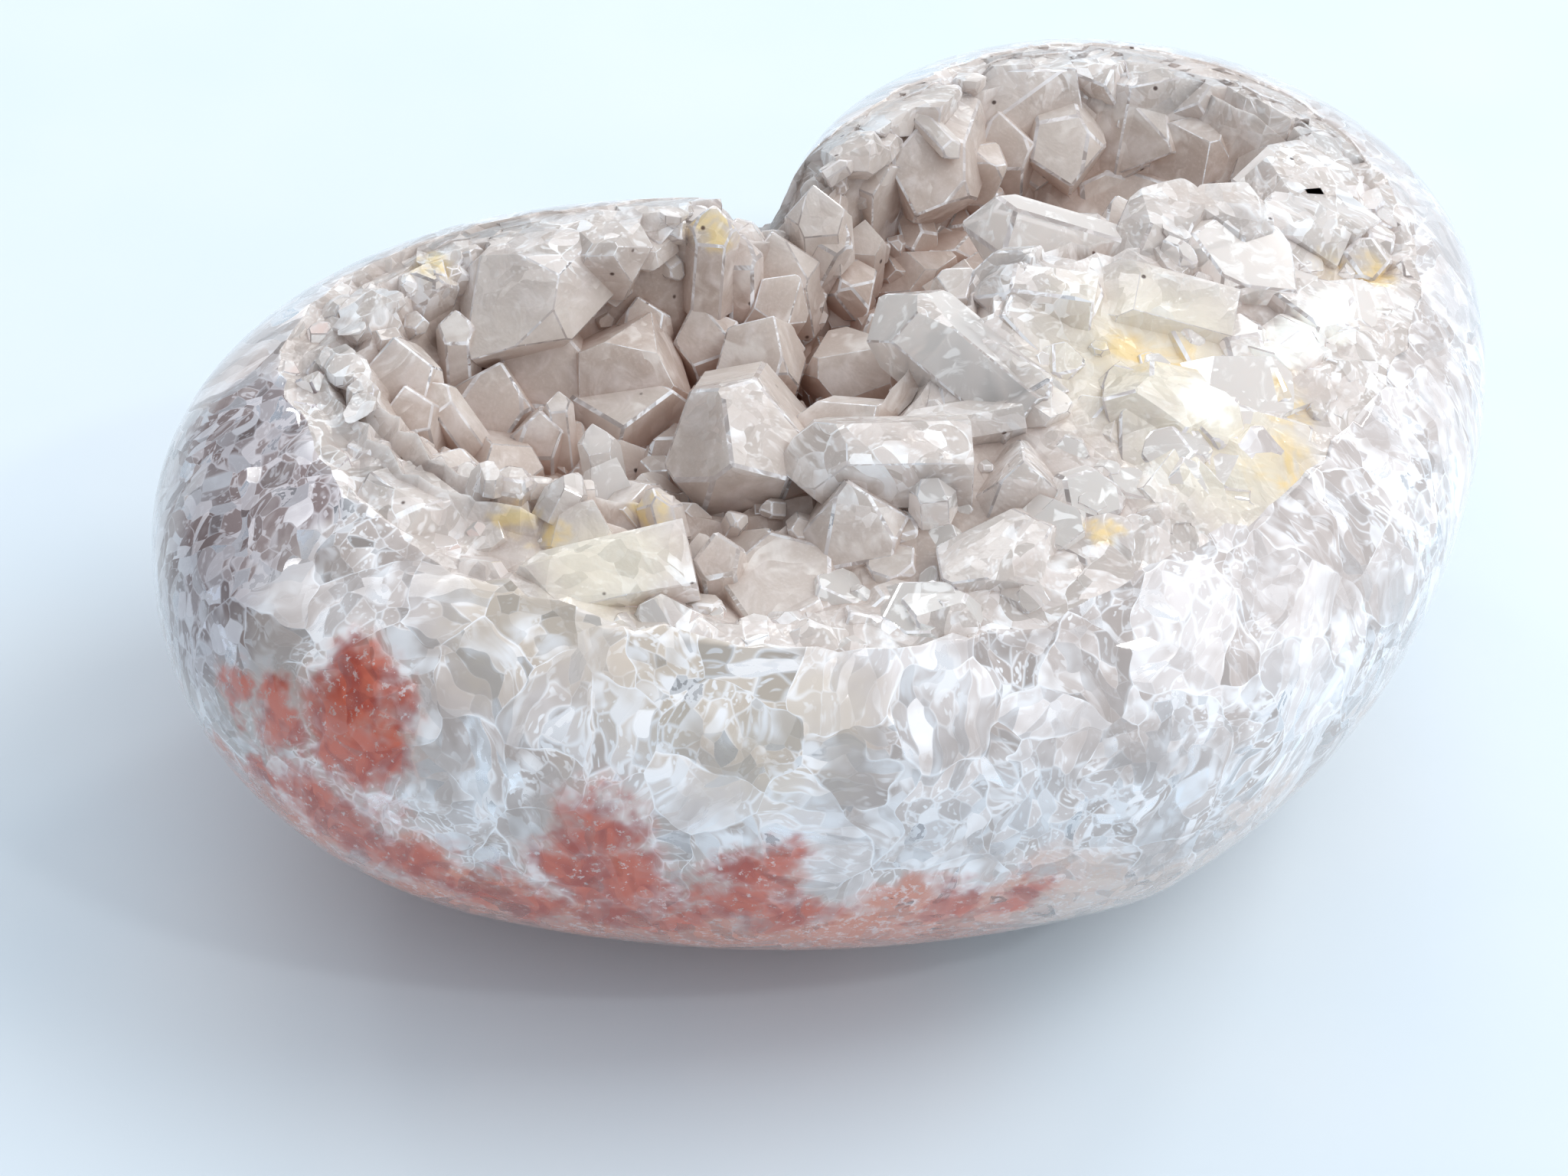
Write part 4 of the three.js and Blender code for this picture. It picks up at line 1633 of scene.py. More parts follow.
@dataclass(frozen=True)
class SatinDruse:
    """Milky, faintly pink crystals, with painted highlights on their edges and painted shade in the
    gaps.

    The bands turn a pattern into a share. shallow, depth_shade, white_depth and polish start from a
    depth below the crown in millimetres, and hidden and edge_highlight from the open sky's share.
    polish gives a roughness. The painted shade turns the colour darker and browner where little open
    sky reaches and deep below the crown; the painted highlight lightens bevelled edges open to the sky.
    """

    plain: Triple = srgb(184, 169, 160)
    cream: Triple = srgb(207, 198, 191)
    # Painted highlight on the bevelled edges; also the colour of the pale wisps inside.
    rim: Triple = srgb(250, 246, 242)
    # Painted shade: the brown that crevices and the deep hollow are darkened towards.
    gap: Triple = srgb(180, 142, 124)
    veil: Triple = srgb(226, 218, 215)
    pale: Triple = srgb(200, 192, 188)
    shard: Triple = srgb(188, 180, 175)
    white: Triple = srgb(250, 250, 252)
    warm: Triple = srgb(232, 224, 206)
    amber: Triple = srgb(230, 204, 150)
    speck: Triple = srgb(60, 32, 22)
    sunlit: Triple = (1.0, 0.99, 0.93)
    pane: float = 4.0
    chip: float = 1.0
    chip_length: float = 3.0
    cloud_scale: float = 0.45
    grain_scale: float = 5.0
    speck_scale: float = 0.34
    speck_shift: Triple = (7.0, 3.0, 1.0)
    edge_shift: float = 2.0
    cloudy: Band = Band(0.46, 0.72, 0.0, 0.6)
    grainy: Band = Band(0.5, 0.75, 0.0, 0.2)
    wisp_lines: Band = Band(0.5, 0.66)
    wisp_patches: Band = Band(0.42, 0.6, 0.1, 0.5)
    shallow: Band = Band(0.5, 4.5, 1.0, 0.0)
    pale_share: float = 0.4
    shard_tones: Band = Band(0.1, 0.95)
    shard_lines: Band = Band(0.54, 0.7, 0.0, 0.7)
    shard_patches: Band = Band(0.36, 0.54, 0.1, 0.75)
    crack_lines: Band = Band(0.56, 0.68, 0.0, 0.8)
    crack_patches: Band = Band(0.45, 0.6)
    # Painted glints: chips painted white as sparkles.
    painted_glint_chips: Band = Band(0.86, 0.9)
    white_patches: Band = Band(0.46, 0.56)
    white_depth: Band = Band(0.4, 3.4, 0.9, 0.0)
    # Painted shade: reach of the occlusion, and how little open sky and how much depth bring in the gap
    # brown.
    sky_reach: float = 0.005
    hidden: Band = Band(0.2, 0.9, 0.85, 0.0)
    depth_shade: Band = Band(2.0, 14.0, 0.15, 1.0)
    warm_share: float = 0.7
    stain_clouds: Band = Band(0.38, 0.55, 0.2, 0.9)
    specks: Band = Band(0.03, 0.07, 0.9, 0.0)
    # Painted highlight: how much lighter the bevelled edges get, by their share of open sky.
    edge_highlight: Band = Band(0.3, 0.9, 0.1, 0.5)
    grain_bump: float = 0.06
    bump: float = 0.18
    bump_height: float = 0.0012
    pane_lean: float = 0.4
    chip_lean: float = 0.55
    polish: Band = Band(1.0, 4.5, 0.2, 0.34)
    glow: float = 0.4
    glow_depth: float = 0.006

    def milky(self, g: Graph, cracks: Fractures, cloud: Socket, grain: Socket) -> Socket:
        """Colour in the depth of the hollow, cloudy and with pale wisps.

        Args:
            g: The material.
            cracks: Pattern of cracks.
            cloud: Pattern of clouds.
            grain: Pattern of grains.

        Returns:
            The colour's socket.
        """
        colour = g.mix(g.attribute("tone"), self.plain, self.cream)
        colour = g.mix(g.ramp(cloud, *self.cloudy), colour, self.veil)
        colour = g.mix(g.ramp(grain, *self.grainy), colour, self.veil)
        wisps = g.both(g.ramp(cracks.lines, *self.wisp_lines), g.ramp(cracks.patch, *self.wisp_patches))
        return g.mix(wisps, colour, self.rim)

    def splintered(
        self, g: Graph, cracks: Fractures, colour: Socket, deep: Socket, shallow: Socket
    ) -> Socket:
        """Colour with splinters, white cracks and white chips painted as glints, near the crown.

        Args:
            g: The material.
            cracks: Pattern of cracks.
            colour: Colour without them.
            deep: Depth below the crown in millimetres.
            shallow: Share of what lies near the crown.

        Returns:
            The colour's socket.
        """
        shards = g.mix(g.ramp(cracks.chip_pick, *self.shard_tones), self.shard, self.veil)
        shards = g.mix(g.ramp(cracks.fine_lines, *self.shard_lines), shards, self.white)
        colour = g.mix(g.both(shallow, self.pale_share), colour, self.pale)
        splintery = g.both(shallow, g.ramp(cracks.patch, *self.shard_patches))
        colour = g.mix(splintery, colour, shards)
        broken = g.either(cracks.seams, g.ramp(cracks.lines, *self.crack_lines))
        broken = g.both(broken, g.ramp(cracks.patch, *self.crack_patches))
        # Painted glints: a few chips are painted white as sparkles.
        chips = g.ramp(cracks.chip_pick, *self.painted_glint_chips)
        broken = g.either(broken, g.both(chips, g.ramp(cracks.patch, *self.white_patches)))
        return g.mix(g.both(broken, g.ramp(deep, *self.white_depth)), colour, self.white)

    def material(self, warm: Mask, amber: Mask, glare: Mask) -> bpy.types.Material:
        """Makes the finish.

        Args:
            warm: Makes the mask of the cream-coloured part of the shelf.
            amber: Makes the mask of the iron-stained places.
            glare: Makes the mask of the white, sunlit band.

        Returns:
            The material.
        """
        g = Graph("satin_druse")
        place = g.place()
        deep = g.attribute("deep")
        cloud = g.noise(place, self.cloud_scale, rough=0.55, swirl=0.6).outputs["Fac"]
        grain = g.noise(place, self.grain_scale, detail=1.0, rough=0.6).outputs["Fac"]
        cracks = Fractures(g, place, self.pane, self.chip, 0.0, self.chip_length)
        shallow = g.ramp(deep, *self.shallow)
        colour = self.milky(g, cracks, cloud, grain)
        colour = self.splintered(g, cracks, colour, deep, shallow)
        # Painted shade: the colour turns darker and browner where little open sky reaches and deep below
        # the crown.
        sky = g.add("AmbientOcclusion", {"Distance": self.sky_reach}, samples=1).outputs["AO"]
        colour = g.mix(g.both(g.ramp(sky, *self.hidden), g.ramp(deep, *self.depth_shade)), colour, self.gap)
        broken = ragged(g, place, self.edge_shift, self.edge_shift)
        colour = g.mix(g.both(warm(g, broken), self.warm_share), colour, self.warm)
        stained = g.both(amber(g, broken), g.ramp(cloud, *self.stain_clouds))
        colour = g.mix(stained, colour, self.amber)
        speck = g.cells(g.vector("ADD", place, self.speck_shift), self.speck_scale).outputs["Distance"]
        colour = g.mix(g.ramp(speck, *self.specks), colour, self.speck)
        # Painted highlight: bevelled edges lightened where they are open to the sky.
        edge = g.both(g.attribute("rim"), g.ramp(sky, *self.edge_highlight))
        colour = g.mix(edge, colour, self.rim)
        colour = g.mix(glare(g, broken), colour, self.sunlit)
        lean, fine_lean = g.both(shallow, self.pane_lean), g.both(shallow, self.chip_lean)
        relief = {
            "Height": g.math("ADD", cloud, g.both(grain, self.grain_bump)),
            "Strength": self.bump,
            "Distance": self.bump_height,
            "Normal": cracks.tilted(g, lean, fine_lean),
        }
        shader = g.add("BsdfPrincipled", {
            "Base Color": colour,
            "Roughness": g.ramp(deep, *self.polish),
            "Normal": g.add("Bump", relief).outputs["Normal"],
            "IOR": QUARTZ_IOR,
            "Specular IOR Level": 0.4,
            "Subsurface Weight": self.glow,
            "Subsurface Radius": GLOW_SPREAD,
            "Subsurface Scale": self.glow_depth,
        })
        return g.output(g.lit_through(shader.outputs[0], colour))


@dataclass(frozen=True)
class ClearQuartz:
    """Glassy crystals with a few inner veils, and bevelled edges painted white as highlights."""

    body: Triple = srgb(246, 238, 233)
    veil: Triple = srgb(254, 253, 252)
    pane: float = 2.6
    chip: float = 0.8
    chip_length: float = 3.0
    cloud_scale: float = 0.5
    veils: Band = Band(0.5, 0.7, 0.05, 0.6)
    rim_highlight_share: float = 0.85
    streaks: Band = Band(0.58, 0.66, 0.0, 0.6)
    clearness: Band = Band(0.0, 1.0, 0.4, 0.0)
    roughness: float = 0.06
    glow: float = 0.4
    glow_depth: float = 0.004

    def material(self) -> bpy.types.Material:
        """Makes the finish.

        Returns:
            The material.
        """
        g = Graph("clear_quartz")
        place = g.place()
        cracks = Fractures(g, place, self.pane, self.chip, 0.0, self.chip_length)
        cloud = g.noise(place, self.cloud_scale, detail=5.0, rough=0.6, swirl=1.2).outputs["Fac"]
        wisp = g.ramp(cloud, *self.veils)
        # Painted highlight: bevelled edges are veiled white.
        wisp = g.either(wisp, g.both(g.attribute("rim"), self.rim_highlight_share))
        wisp = g.either(wisp, g.ramp(cracks.lines, *self.streaks))
        shader = g.add("BsdfPrincipled", {
            "Base Color": g.mix(wisp, self.body, self.veil),
            "Roughness": self.roughness,
            "IOR": QUARTZ_IOR,
            "Transmission Weight": g.ramp(wisp, *self.clearness),
            "Subsurface Weight": self.glow,
            "Subsurface Radius": GLOW_SPREAD,
            "Subsurface Scale": self.glow_depth,
        })
        return g.output(shader.outputs[0])


@dataclass(frozen=True)
class PolishedQuartz:
    """Glossy skin over cracked, half-clear quartz, with a red rind low on the sides.

    The bands turn a pattern into a share. crown_calm, belly_top and belly_sides start from a
    place in millimetres, belly_wave gives millimetres, and gloss gives a roughness.
    """

    clear: Triple = srgb(177, 165, 160)
    milky: Triple = srgb(227, 221, 221)
    white: Triple = srgb(250, 251, 255)
    mauve: Triple = srgb(126, 108, 108)
    mauve_mesh: Triple = srgb(204, 198, 204)
    honey: Triple = srgb(216, 202, 182)
    red: Triple = srgb(198, 92, 66)
    deep_red: Triple = srgb(166, 58, 38)
    pink: Triple = srgb(214, 150, 130)
    belly: Triple = srgb(208, 134, 112)
    cream: Triple = srgb(212, 190, 178)
    pane: float = 4.6
    chip: float = 1.0
    chip_rise: float = 0.55
    chip_length: float = 3.6
    broad_shift: float = 6.0
    fine_shift: float = 2.6
    speckle_scale: float = 1.9
    crown_calm: Band = Band(17.0, 27.0, 0.08, 0.0)
    crowding: Band = Band(0.43, 0.6, 0.15, 1.0)
    pane_share: float = 0.7
    line_share: float = 0.9
    shades: Band = Band(0.45, 1.65)
    honey_share: float = 0.55
    mauve_chips: Band = Band(0.3, 0.9)
    mesh_width: Band = Band(0.42, 0.62, 0.03, 0.13)
    mesh_share: float = 0.75
    frost_lines: Band = Band(0.56, 0.66)
    frost_patches: Band = Band(0.4, 0.58, 0.2, 0.9)
    shard_lines: Band = Band(0.56, 0.66, 0.0, 0.8)
    # Painted glints: chips painted white as sparkles.
    white_glint_chips: Band = Band(0.8, 0.84, 0.0, 0.9)
    seam_patches: Band = Band(0.38, 0.5)
    belly_wave: Band = Band(0.3, 0.7, 4.0, -4.0)
    belly_top: Band = Band(14.5, 19.5, 1.0, 0.0)
    belly_drift: float = 20.0
    belly_sides: Band = Band(-6.0, 6.0)
    belly_speckle: Band = Band(0.62, 0.5, 0.5, 1.0)
    rind_speckle: Band = Band(0.66, 0.58, 0.45, 1.0)
    rind_lines: Band = Band(0.38, 0.62)
    rind_edge: Band = Band(0.1, 0.6)
    glint_chips: Band = Band(0.9, 0.92)
    glint_lines: Band = Band(0.5, 0.54)
    gloss: Band = Band(0.35, 0.6, 0.12, 0.3)
    pane_lean: float = 0.3
    chip_lean: float = 0.65
    coat_roughness: float = 0.03

    def cracked(
        self, g: Graph, cracks: Fractures, crowded: Socket, shatter: Socket, side: Socket, yellow: Socket
    ) -> Socket:
        """Colour of the quartz under the gloss, with a few chips painted white as glints.

        Args:
            g: The material.
            cracks: Pattern of cracks.
            crowded: Share of splinters.
            shatter: Pattern of the more broken places.
            side: Mask of the mauve side.
            yellow: Mask of the yellowish zone.

        Returns:
            The colour's socket.
        """
        chips = cracks.chip_pick
        shade = g.math("ADD", g.both(cracks.pick, self.pane_share), g.both(chips, crowded))
        shade = g.math("ADD", shade, g.both(cracks.lines, self.line_share))
        body = g.mix(g.ramp(shade, *self.shades), self.clear, self.milky)
        body = g.mix(g.both(yellow, self.honey_share), body, self.honey)
        mauve = g.mix(g.ramp(chips, *self.mauve_chips), self.mauve, self.mauve_mesh)
        body = g.mix(side, body, mauve)
        width = g.ramp(cracks.patch, *self.mesh_width)
        mesh = g.both(g.ramp(cracks.chip_seam, 0.0, width, self.mesh_share, 0.0), crowded)
        frost = g.both(g.ramp(cracks.lines, *self.frost_lines), g.ramp(shatter, *self.frost_patches))
        shards = g.both(g.ramp(cracks.fine_lines, *self.shard_lines), crowded)
        # Painted glints: a few chips are painted white as sparkles.
        painted_glints = g.both(g.ramp(chips, *self.white_glint_chips), crowded)
        seams = g.both(cracks.seams, g.ramp(shatter, *self.seam_patches))
        pale = g.either(g.either(g.either(seams, mesh), g.either(frost, shards)), painted_glints)
        return g.mix(pale, body, g.mix(side, self.white, self.mauve_mesh))

    def bellied(
        self, g: Graph, cracks: Fractures, place: Socket, speckle: Socket, body: Socket
    ) -> Socket:
        """Colour with the pink and cream underside.

        Args:
            g: The material.
            cracks: Pattern of cracks.
            place: Position in millimetres.
            speckle: Pattern of small spots.
            body: Colour without it.

        Returns:
            The colour's socket.
        """
        across, _, height = g.add("SeparateXYZ", {0: place}).outputs
        wavy = g.math("ADD", height, g.ramp(cracks.patch, *self.belly_wave))
        low = g.ramp(wavy, *self.belly_top)
        drifted = g.math("ADD", across, g.both(cracks.patch, self.belly_drift))
        ground = g.mix(g.ramp(drifted, *self.belly_sides), self.belly, self.cream)
        return g.mix(g.both(low, g.ramp(speckle, *self.belly_speckle)), body, ground)

    def material(self, red: Mask, mauve: Mask, honey: Mask) -> bpy.types.Material:
        """Makes the finish.

        Args:
            red: Makes the mask of the red rind.
            mauve: Makes the mask of the mauve side.
            honey: Makes the mask of the yellowish zone.

        Returns:
            The material.
        """
        g = Graph("polished_skin")
        place = g.place()
        cracks = Fractures(g, place, self.pane, self.chip, self.chip_rise, self.chip_length)
        broken = ragged(g, place, self.broad_shift, self.fine_shift)
        side = mauve(g, broken)
        height = g.add("SeparateXYZ", {0: place}).outputs[2]
        shatter = g.math("ADD", cracks.patch, g.ramp(height, *self.crown_calm))
        crowded = g.either(side, g.ramp(shatter, *self.crowding))
        body = self.cracked(g, cracks, crowded, shatter, side, honey(g, broken))
        speckle = g.noise(place, self.speckle_scale, rough=0.7).outputs["Fac"]
        body = self.bellied(g, cracks, place, speckle, body)
        stain = red(g, broken)
        rind = g.both(stain, g.ramp(speckle, *self.rind_speckle))
        blood = g.mix(g.ramp(cracks.lines, *self.rind_lines), self.red, self.deep_red)
        body = g.mix(rind, body, g.mix(g.ramp(stain, *self.rind_edge), self.pink, blood))
        glint = g.ramp(cracks.chip_pick, *self.glint_chips)
        glint = g.both(glint, g.ramp(cracks.fine_lines, *self.glint_lines))
        glint = g.both(glint, g.both(crowded, g.math("SUBTRACT", 1.0, rind)))
        shader = g.add("BsdfPrincipled", {
            "Base Color": body,
            "Metallic": glint,
            "Roughness": g.ramp(cracks.lines, *self.gloss),
            "Normal": cracks.tilted(g, self.pane_lean, self.chip_lean),
            "IOR": QUARTZ_IOR,
            "Specular IOR Level": 0.5,
            "Coat Weight": 1.0,
            "Coat Roughness": self.coat_roughness,
            "Coat IOR": QUARTZ_IOR,
        })
        return g.output(g.lit_through(shader.outputs[0], body))


@dataclass(frozen=True)
class PaperFloor:
    """Pale paper that the stone lies on; its size is in metres."""

    colour: Triple = srgb(212, 226, 237)
    warm: Triple = srgb(222, 231, 238)
    cloud_scale: float = 0.05
    size: float = 4.0

    def build(self) -> None:
        """Makes the floor, which is no part of the stone."""
        g = Graph("paper")
        clouds = g.noise(g.place(), self.cloud_scale, detail=2.0).outputs["Fac"]
        colour = g.mix(clouds, self.colour, self.warm)
        material = g.output(g.add("BsdfDiffuse", {"Color": colour}).outputs[0])
        half = self.size / 2
        corners = [(-half, -half, 0), (half, -half, 0), (half, half, 0), (-half, half, 0)]
        mesh = bpy.data.meshes.new("floor")
        mesh.from_pydata(corners, [], [(0, 1, 2, 3)])
        mesh.materials.append(material)
        floor = bpy.data.objects.new("floor", mesh)
        bpy.context.scene.collection.objects.link(floor)


# Light


@dataclass(frozen=True)
class SoftLight:
    """Square lamp that looks at the stone; sizes in metres."""

    name: str
    azimuth: float
    elevation: float
    distance: float
    size: float
    watts: float
    colour: Triple
    mirrored: bool = True

    def build(self) -> None:
        """Makes the lamp."""
        data = bpy.data.lights.new(self.name, "AREA")
        data.shape = "SQUARE"
        data.size = self.size
        data.energy = self.watts
        data.color = self.colour
        lamp = bpy.data.objects.new(self.name, data)
        a, e = math.radians(self.azimuth), math.radians(self.elevation)
        way = Vector((math.cos(a) * math.cos(e), math.sin(a) * math.cos(e), math.sin(e)))
        lamp.location = way * self.distance
        lamp.rotation_mode = "QUATERNION"
        lamp.rotation_quaternion = way.to_track_quat("Z", "Y")
        lamp.visible_glossy = self.mirrored
        bpy.context.scene.collection.objects.link(lamp)


@dataclass(frozen=True)
class Studio:
    """Pale surroundings: soft light from above right, and windows behind that the gloss mirrors."""

    sky: Triple = (0.90, 0.95, 1.0)
    bright_side: Triple = (0.775, -0.263, 0.575)
    fade: Band = Band(-0.8, 0.7, 0.3, 1.0)
    bounces: int = 4
    lamps: tuple[SoftLight, ...] = (
        SoftLight("key", -22.0, 52.0, 1.2, 0.6, 5.5, (1.0, 0.985, 0.96), mirrored=False),
        SoftLight("back_window", 60.0, 24.0, 1.6, 0.7, 4.0, (0.95, 0.98, 1.0)),
        SoftLight("right_window", 20.0, 37.0, 1.6, 0.22, 2.2, (1.0, 0.99, 0.95)),
        SoftLight("left_window", 90.0, 30.0, 1.6, 0.18, 1.4, (0.95, 0.98, 1.0)),
        SoftLight("spark", -70.0, 50.0, 1.2, 0.07, 1.0, (1.0, 1.0, 1.0)),
    )

    def build(self) -> None:
        """Makes the world, the lamps and the floor."""
        scene = bpy.context.scene
        scene.world = bpy.data.worlds.new("surroundings")
        g = Graph("surroundings", scene.world)
        toward = g.vector("DOT_PRODUCT", g.add("TexCoord").outputs["Generated"], self.bright_side)
        strength = g.ramp(toward, *self.fade)
        backdrop = g.add("Background", {"Color": (*self.sky, 1.0), "Strength": strength})
        g.add("OutputWorld", {"Surface": backdrop.outputs[0]})
        scene.view_settings.view_transform = "Standard"
        scene.cycles.max_bounces = self.bounces
        for lamp in self.lamps:
            lamp.build()
        PaperFloor().build()


# The stone in the picture


SEEN = {
    "cream_plate": Seen((622, 453), 230, 35, 4.2, 6.0, turn=20, tone=0.95),
    "tongue": Seen((595, 407), 92, 30, 1.3, 4.5, tone=0.8),
    "left_slab": Seen((720, 418), 85, 45, 3.6, 5.0, tone=0.45),
    "left_slab_low": Seen((650, 475), 75, 40, 2.8, 4.0, tone=0.6),
    "blunt_pillar": Seen((838, 430), 70, 50, 3.9, 7.0, blunt=0.3, tone=0.2),
    "finger": Seen((556, 500), 125, 20, 1.3, 6.0, tone=0.55),
    "low_left": Seen((572, 600), 75, 15, 2.2, 4.0, tone=0.6, drop=1.8),
    "dim_left": Seen((525, 508), 100, 40, 1.9, 3.0, tone=0.35),
    "box": Seen((672, 603), 80, 35, 1.4, 2.0, blunt=0.6, tone=0.6),
    "strip": Seen((728, 512), 95, 25, 0.9, 5.0, tone=0.7),
    "middle_pillar": Seen((1010, 422), 75, 35, 2.9, 6.0, turn=-30, tone=0.55),
    "end_on": Seen((949, 606), 250, 80, 4.2, 9.0, turn=70, tone=0.6, drop=1.6),
    "broad_back": Seen((1092, 424), 110, 30, 3.1, 6.0, blunt=0.5, tone=0.5),
    "lying_white": Seen((1022, 603), 181, 2, 2.9, 7.5, turn=20, drop=2.9),
    "clear_leaning": Seen((1150, 370), 139, -21, 2.9, 9.5, grain=Grain.CLEAR, tone=0.6, drop=0.9),
    "clear_upper": Seen((1260, 288), 164, 4, 2.4, 7.0, grain=Grain.CLEAR, tone=0.9, drop=2.6),
    "companion": Seen((1402, 282), 125, 5, 1.6, 4.0, tone=0.7, drop=2.4),
    "small_orange": Seen((1462, 257), 100, 10, 1.8, 4.0, tone=0.6, drop=3.0),
    "far_beige": Seen((1195, 275), 250, 45, 3.3, 5.0, tone=0.3),
    "white_strip": Seen((1253, 206), -48, 20, 0.8, 4.0, tone=1.0),
    "triangle": Seen((1310, 150), 90, 50, 2.4, 3.0, tone=0.4),
    "lobed_plate": Seen((1400, 240), -80, 40, 2.7, 4.0, tone=0.9),
    "cream_near": Seen((664, 768), 193, 0, 2.3, 8.0, turn=0, tone=0.9, drop=1.3),
    "ridge_face": Seen((1268, 370), 172, -6, 2.2, 5.0, turn=40, tone=0.8, drop=1.6),
    "ridge_face_two": Seen((1412, 362), 165, 4, 2.8, 6.0, turn=30, tone=0.8, drop=1.2),
    "right_lump": Seen((1560, 250), 95, 40, 1.9, 3.5, tone=0.8),
    "right_lump_low": Seen((1610, 306), 95, 40, 1.7, 3.0, tone=0.8),
    "lilac_rhomb": Seen((1012, 309), 100, 40, 2.3, 4.0, tone=0.6),
    "brown_column": Seen((968, 308), 90, 35, 1.4, 4.0, tone=0.0),
    "crest_orange": Seen((932, 266), 85, 30, 1.7, 5.0, tone=0.2),
    "pale_crest": Seen((1066, 246), 95, 35, 2.0, 3.0, tone=0.7),
    "lilac_column": Seen((1100, 290), 60, 30, 1.4, 4.0, tone=0.5),
    "pale_column": Seen((1132, 290), 85, 35, 1.3, 3.5, tone=0.8),
    "small_white": Seen((1098, 388), 95, 40, 1.3, 2.5, tone=0.8),
    "low_beige": Seen((1040, 365), 55, 35, 1.9, 4.5, tone=0.45),
    "left_wedge": Seen((905, 399), 110, 40, 2.2, 4.5, tone=0.5),
    "honey_low": Seen((832, 390), 100, 40, 1.8, 3.0, tone=0.3),
    "slanted_plate": Seen((1140, 412), 115, 40, 1.8, 4.5, tone=0.5),
    "ramp_blade": Seen((1165, 575), 190, 8, 1.5, 6.0, tone=0.6),
    "grey_below": Seen((1110, 636), 100, 45, 3.2, 3.5, tone=0.4),
    "grey_near": Seen((932, 698), 100, 35, 1.7, 3.5, tone=0.3, drop=2.2),
    "grey_dome": Seen((1340, 606), 90, 55, 3.4, 2.5, tone=0.5),
    "glassy_blade": Seen((777, 555), 100, 15, 1.2, 6.0, grain=Grain.CLEAR, tone=0.9),
    "glassy_lump": Seen((805, 604), 70, 30, 1.6, 4.0, grain=Grain.CLEAR, tone=0.9),
    "glassy_right": Seen((1215, 612), 95, 35, 1.4, 3.0, grain=Grain.CLEAR, tone=0.9),
    "olive": Seen((705, 537), 90, 45, 1.8, 3.5, tone=0.2),
    "left_plate": Seen((425, 445), 100, 40, 1.7, 2.5, tone=0.6),
    "left_plate_two": Seen((515, 452), 95, 45, 2.4, 3.5, tone=0.5),
    "sliver": Seen((497, 592), 115, 5, 1.3, 4.0, tone=0.7, drop=1.2),
}
ON_SHELF = frozenset({
    "cream_near", "grey_near", "grey_below", "grey_dome", "glassy_blade", "glassy_lump", "glassy_right",
    "ridge_face", "ridge_face_two", "low_left", "sliver",
})

GROWTH = {
    Zone.POCKET: (
        Growth(3.4, (2.3, 3.6), (0.6, 1.5), (5, 45), tone=(0.1, 0.85)),
        Growth(2.2, (1.2, 2.2), (0.7, 1.6), (10, 60), tone=(0.0, 0.9)),
        Growth(1.3, (0.6, 1.1), (0.7, 1.6), (10, 60), tone=(0.0, 0.9)),
    ),
    Zone.MASSIVE: (
        Growth(4.5, (4.5, 6.5), (0.10, 0.22), (44, 58), blunt=0.0, tone=(0.3, 0.7)),
        Growth(3.0, (2.5, 4.0), (0.15, 0.3), (40, 60), tone=(0.2, 0.8)),
    ),
    Zone.SHELF: (
        Growth(4.0, (3.2, 5.0), (0.14, 0.32), (40, 62), blunt=0.0, tone=(0.4, 0.9), clear_share=0.2),
        Growth(2.6, (1.4, 2.6), (0.15, 0.45), (30, 65), tone=(0.4, 0.9), clear_share=0.4),
        Growth(3.0, (0.5, 1.1), (0.3, 0.9), (15, 70), tone=(0.4, 1.0), clear_share=0.8),
    ),
    Zone.RIM: (
        Growth(3.2, (2.2, 3.6), (0.12, 0.3), (40, 60), tone=(0.4, 0.9), clear_share=0.2),
        Growth(2.0, (0.9, 1.7), (0.2, 0.6), (20, 60), tone=(0.4, 1.0), clear_share=0.4),
    ),
}

RED_RIND = (
    Stain((462, 915), 2.6), Stain((455, 985), 2.4), Stain((365, 940), 2.0), Stain((300, 895), 1.6),
    Stain((405, 1045), 2.8), Stain((470, 1085), 3.0), Stain((540, 1130), 2.8), Stain((620, 1165), 2.4),
    Stain((350, 1010), 2.0), Stain((410, 1110), 2.4), Stain((700, 1190), 2.2),
    Stain((770, 1085), 2.6), Stain((750, 1140), 2.8), Stain((830, 1150), 3.0), Stain((800, 1195), 2.6),
    Stain((1005, 1140), 2.3), Stain((960, 1180), 2.3), Stain((1030, 1195), 2.6), Stain((900, 1195), 2.2),
    Stain((1240, 1185), 2.2), Stain((1330, 1172), 1.8),
)
MAUVE_SIDE = (
    Stain((330, 560), 5.5), Stain((290, 690), 5.5), Stain((250, 800), 4.5), Stain((400, 630), 3.0),
)
HONEY_ZONE = (Stain((900, 860), 6.0), Stain((700, 780), 5.0), Stain((1000, 940), 5.0))
CREAM_SHELF = (Stain((1500, 470), 6.0), Stain((1600, 590), 5.0), Stain((790, 735), 3.5))
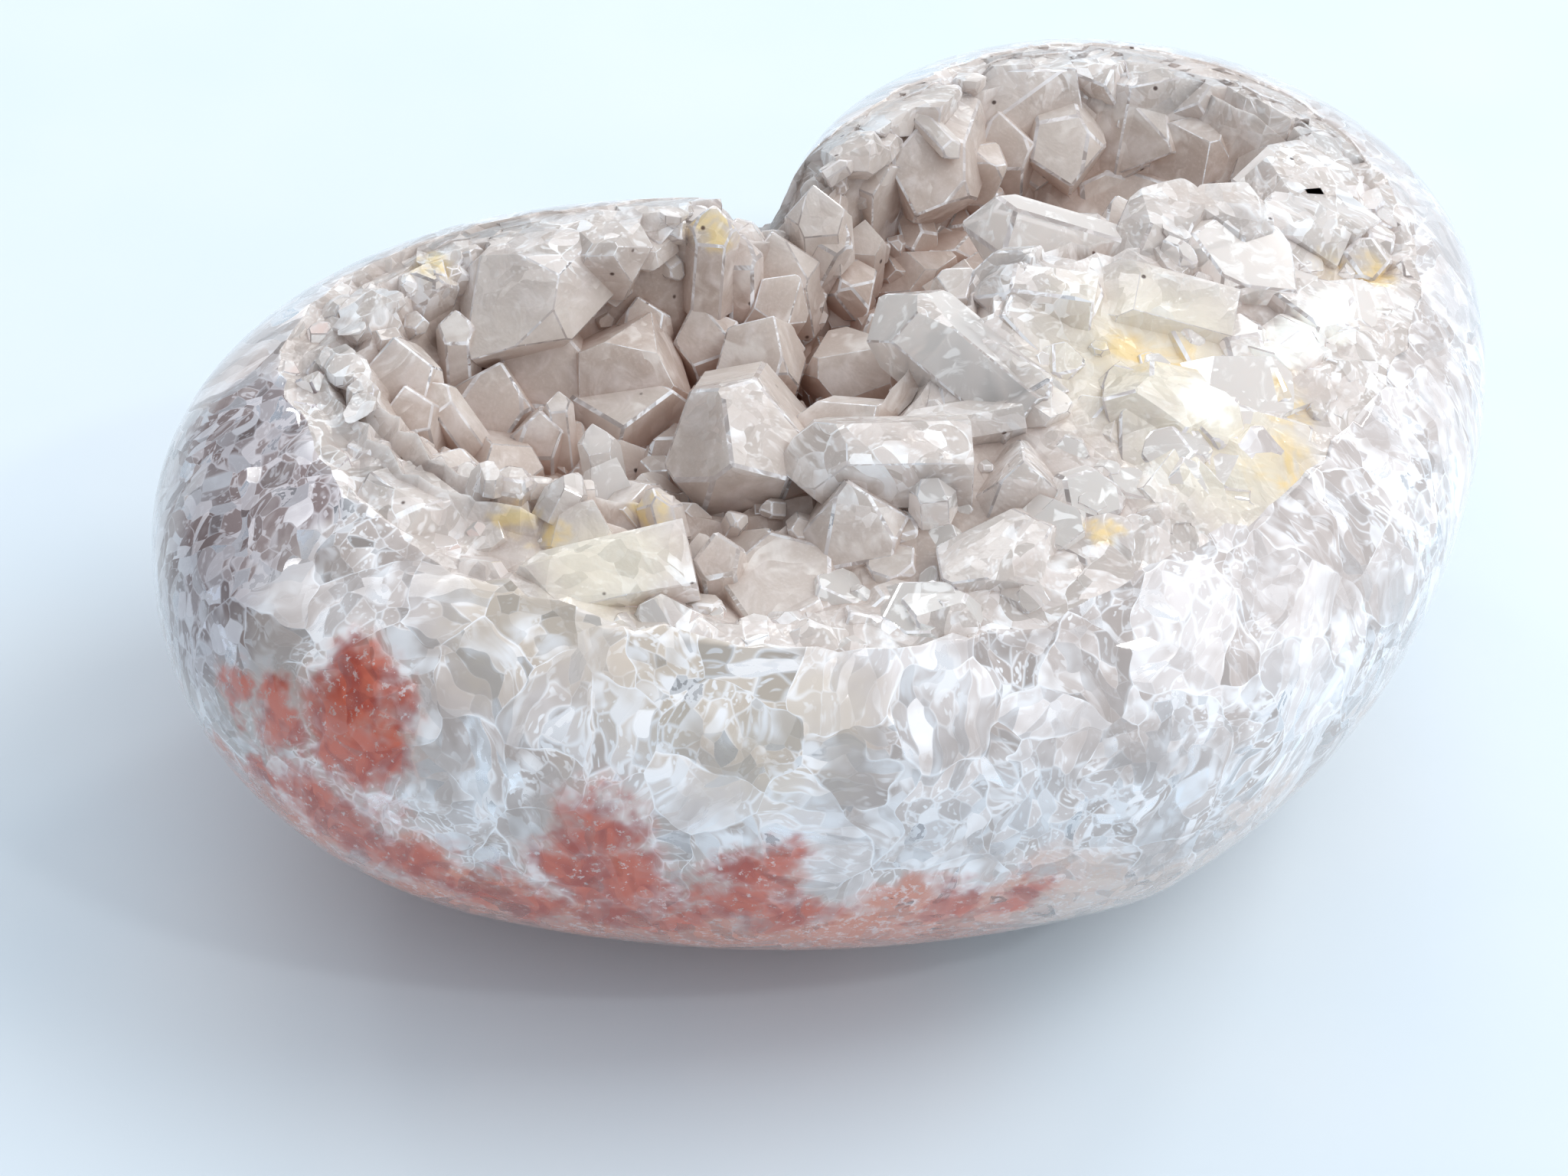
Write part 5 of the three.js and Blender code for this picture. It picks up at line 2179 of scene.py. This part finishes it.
AMBER_STAINS = (
    Stain((1475, 462), 2.0), Stain((1535, 470), 1.6), Stain((1668, 520), 1.7),
    Stain((1665, 600), 2.0), Stain((1795, 365), 1.4), Stain((1740, 360), 1.4),
    Stain((845, 662), 1.1), Stain((670, 672), 1.2), Stain((930, 300), 1.2),
    Stain((560, 345), 1.4), Stain((1430, 691), 0.8), Stain((730, 700), 0.9),
)
GLARE_START = (1575, 530)
GLARE_STEP = (22, -17)
GLARE_STEPS = 10
GLARE_RADIUS = 1.4
GLARE_BAND = tuple(
    Stain((GLARE_START[0] + GLARE_STEP[0] * k, GLARE_START[1] + GLARE_STEP[1] * k), GLARE_RADIUS)
    for k in range(GLARE_STEPS)
)


def main() -> None:
    """Builds the stone, its crust, the studio and the camera."""
    logging.basicConfig(level=logging.INFO, format="%(name)s: %(message)s")
    field_noise.seed_set(NOISE_SEED)
    view = Viewpoint()
    view.camera()
    Studio().build()
    envelope = Envelope()
    crown = Crown(envelope)
    hollow = Hollow()
    bed = Bed(hollow, crown, CrystalCrust.lining)
    druse = Druse(view, crown, bed, GROWTH, SEEN, ON_SHELF)
    druse.grow()
    LOG.info("%d crystals in the trough, %d on the shelf", len(druse.in_trough), len(druse.on_shelf))
    stone = PolishedStone(envelope, crown, hollow, druse)
    stone_solid = stone.solid()
    crust = CrystalCrust(envelope, crown, hollow, druse)
    crust_solid = crust.solid(stone_solid)
    surface = surface_tree((stone_solid, crust_solid))

    def patches(stains: Iterable[Stain]) -> Mask:
        """Maker of a mask for patches on the stone's surface."""
        return lambda g, where: stain_mask(g, where, stains, view, surface)

    materials = (
        PolishedQuartz().material(patches(RED_RIND), patches(MAUVE_SIDE), patches(HONEY_ZONE)),
        SatinDruse().material(patches(CREAM_SHELF), patches(AMBER_STAINS), patches(GLARE_BAND)),
        ClearQuartz().material(),
    )
    for piece, solid in ((stone, stone_solid), (crust, crust_solid)):
        piece.finish(solid, materials)
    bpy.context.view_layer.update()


if __name__ == "__main__":
    main()
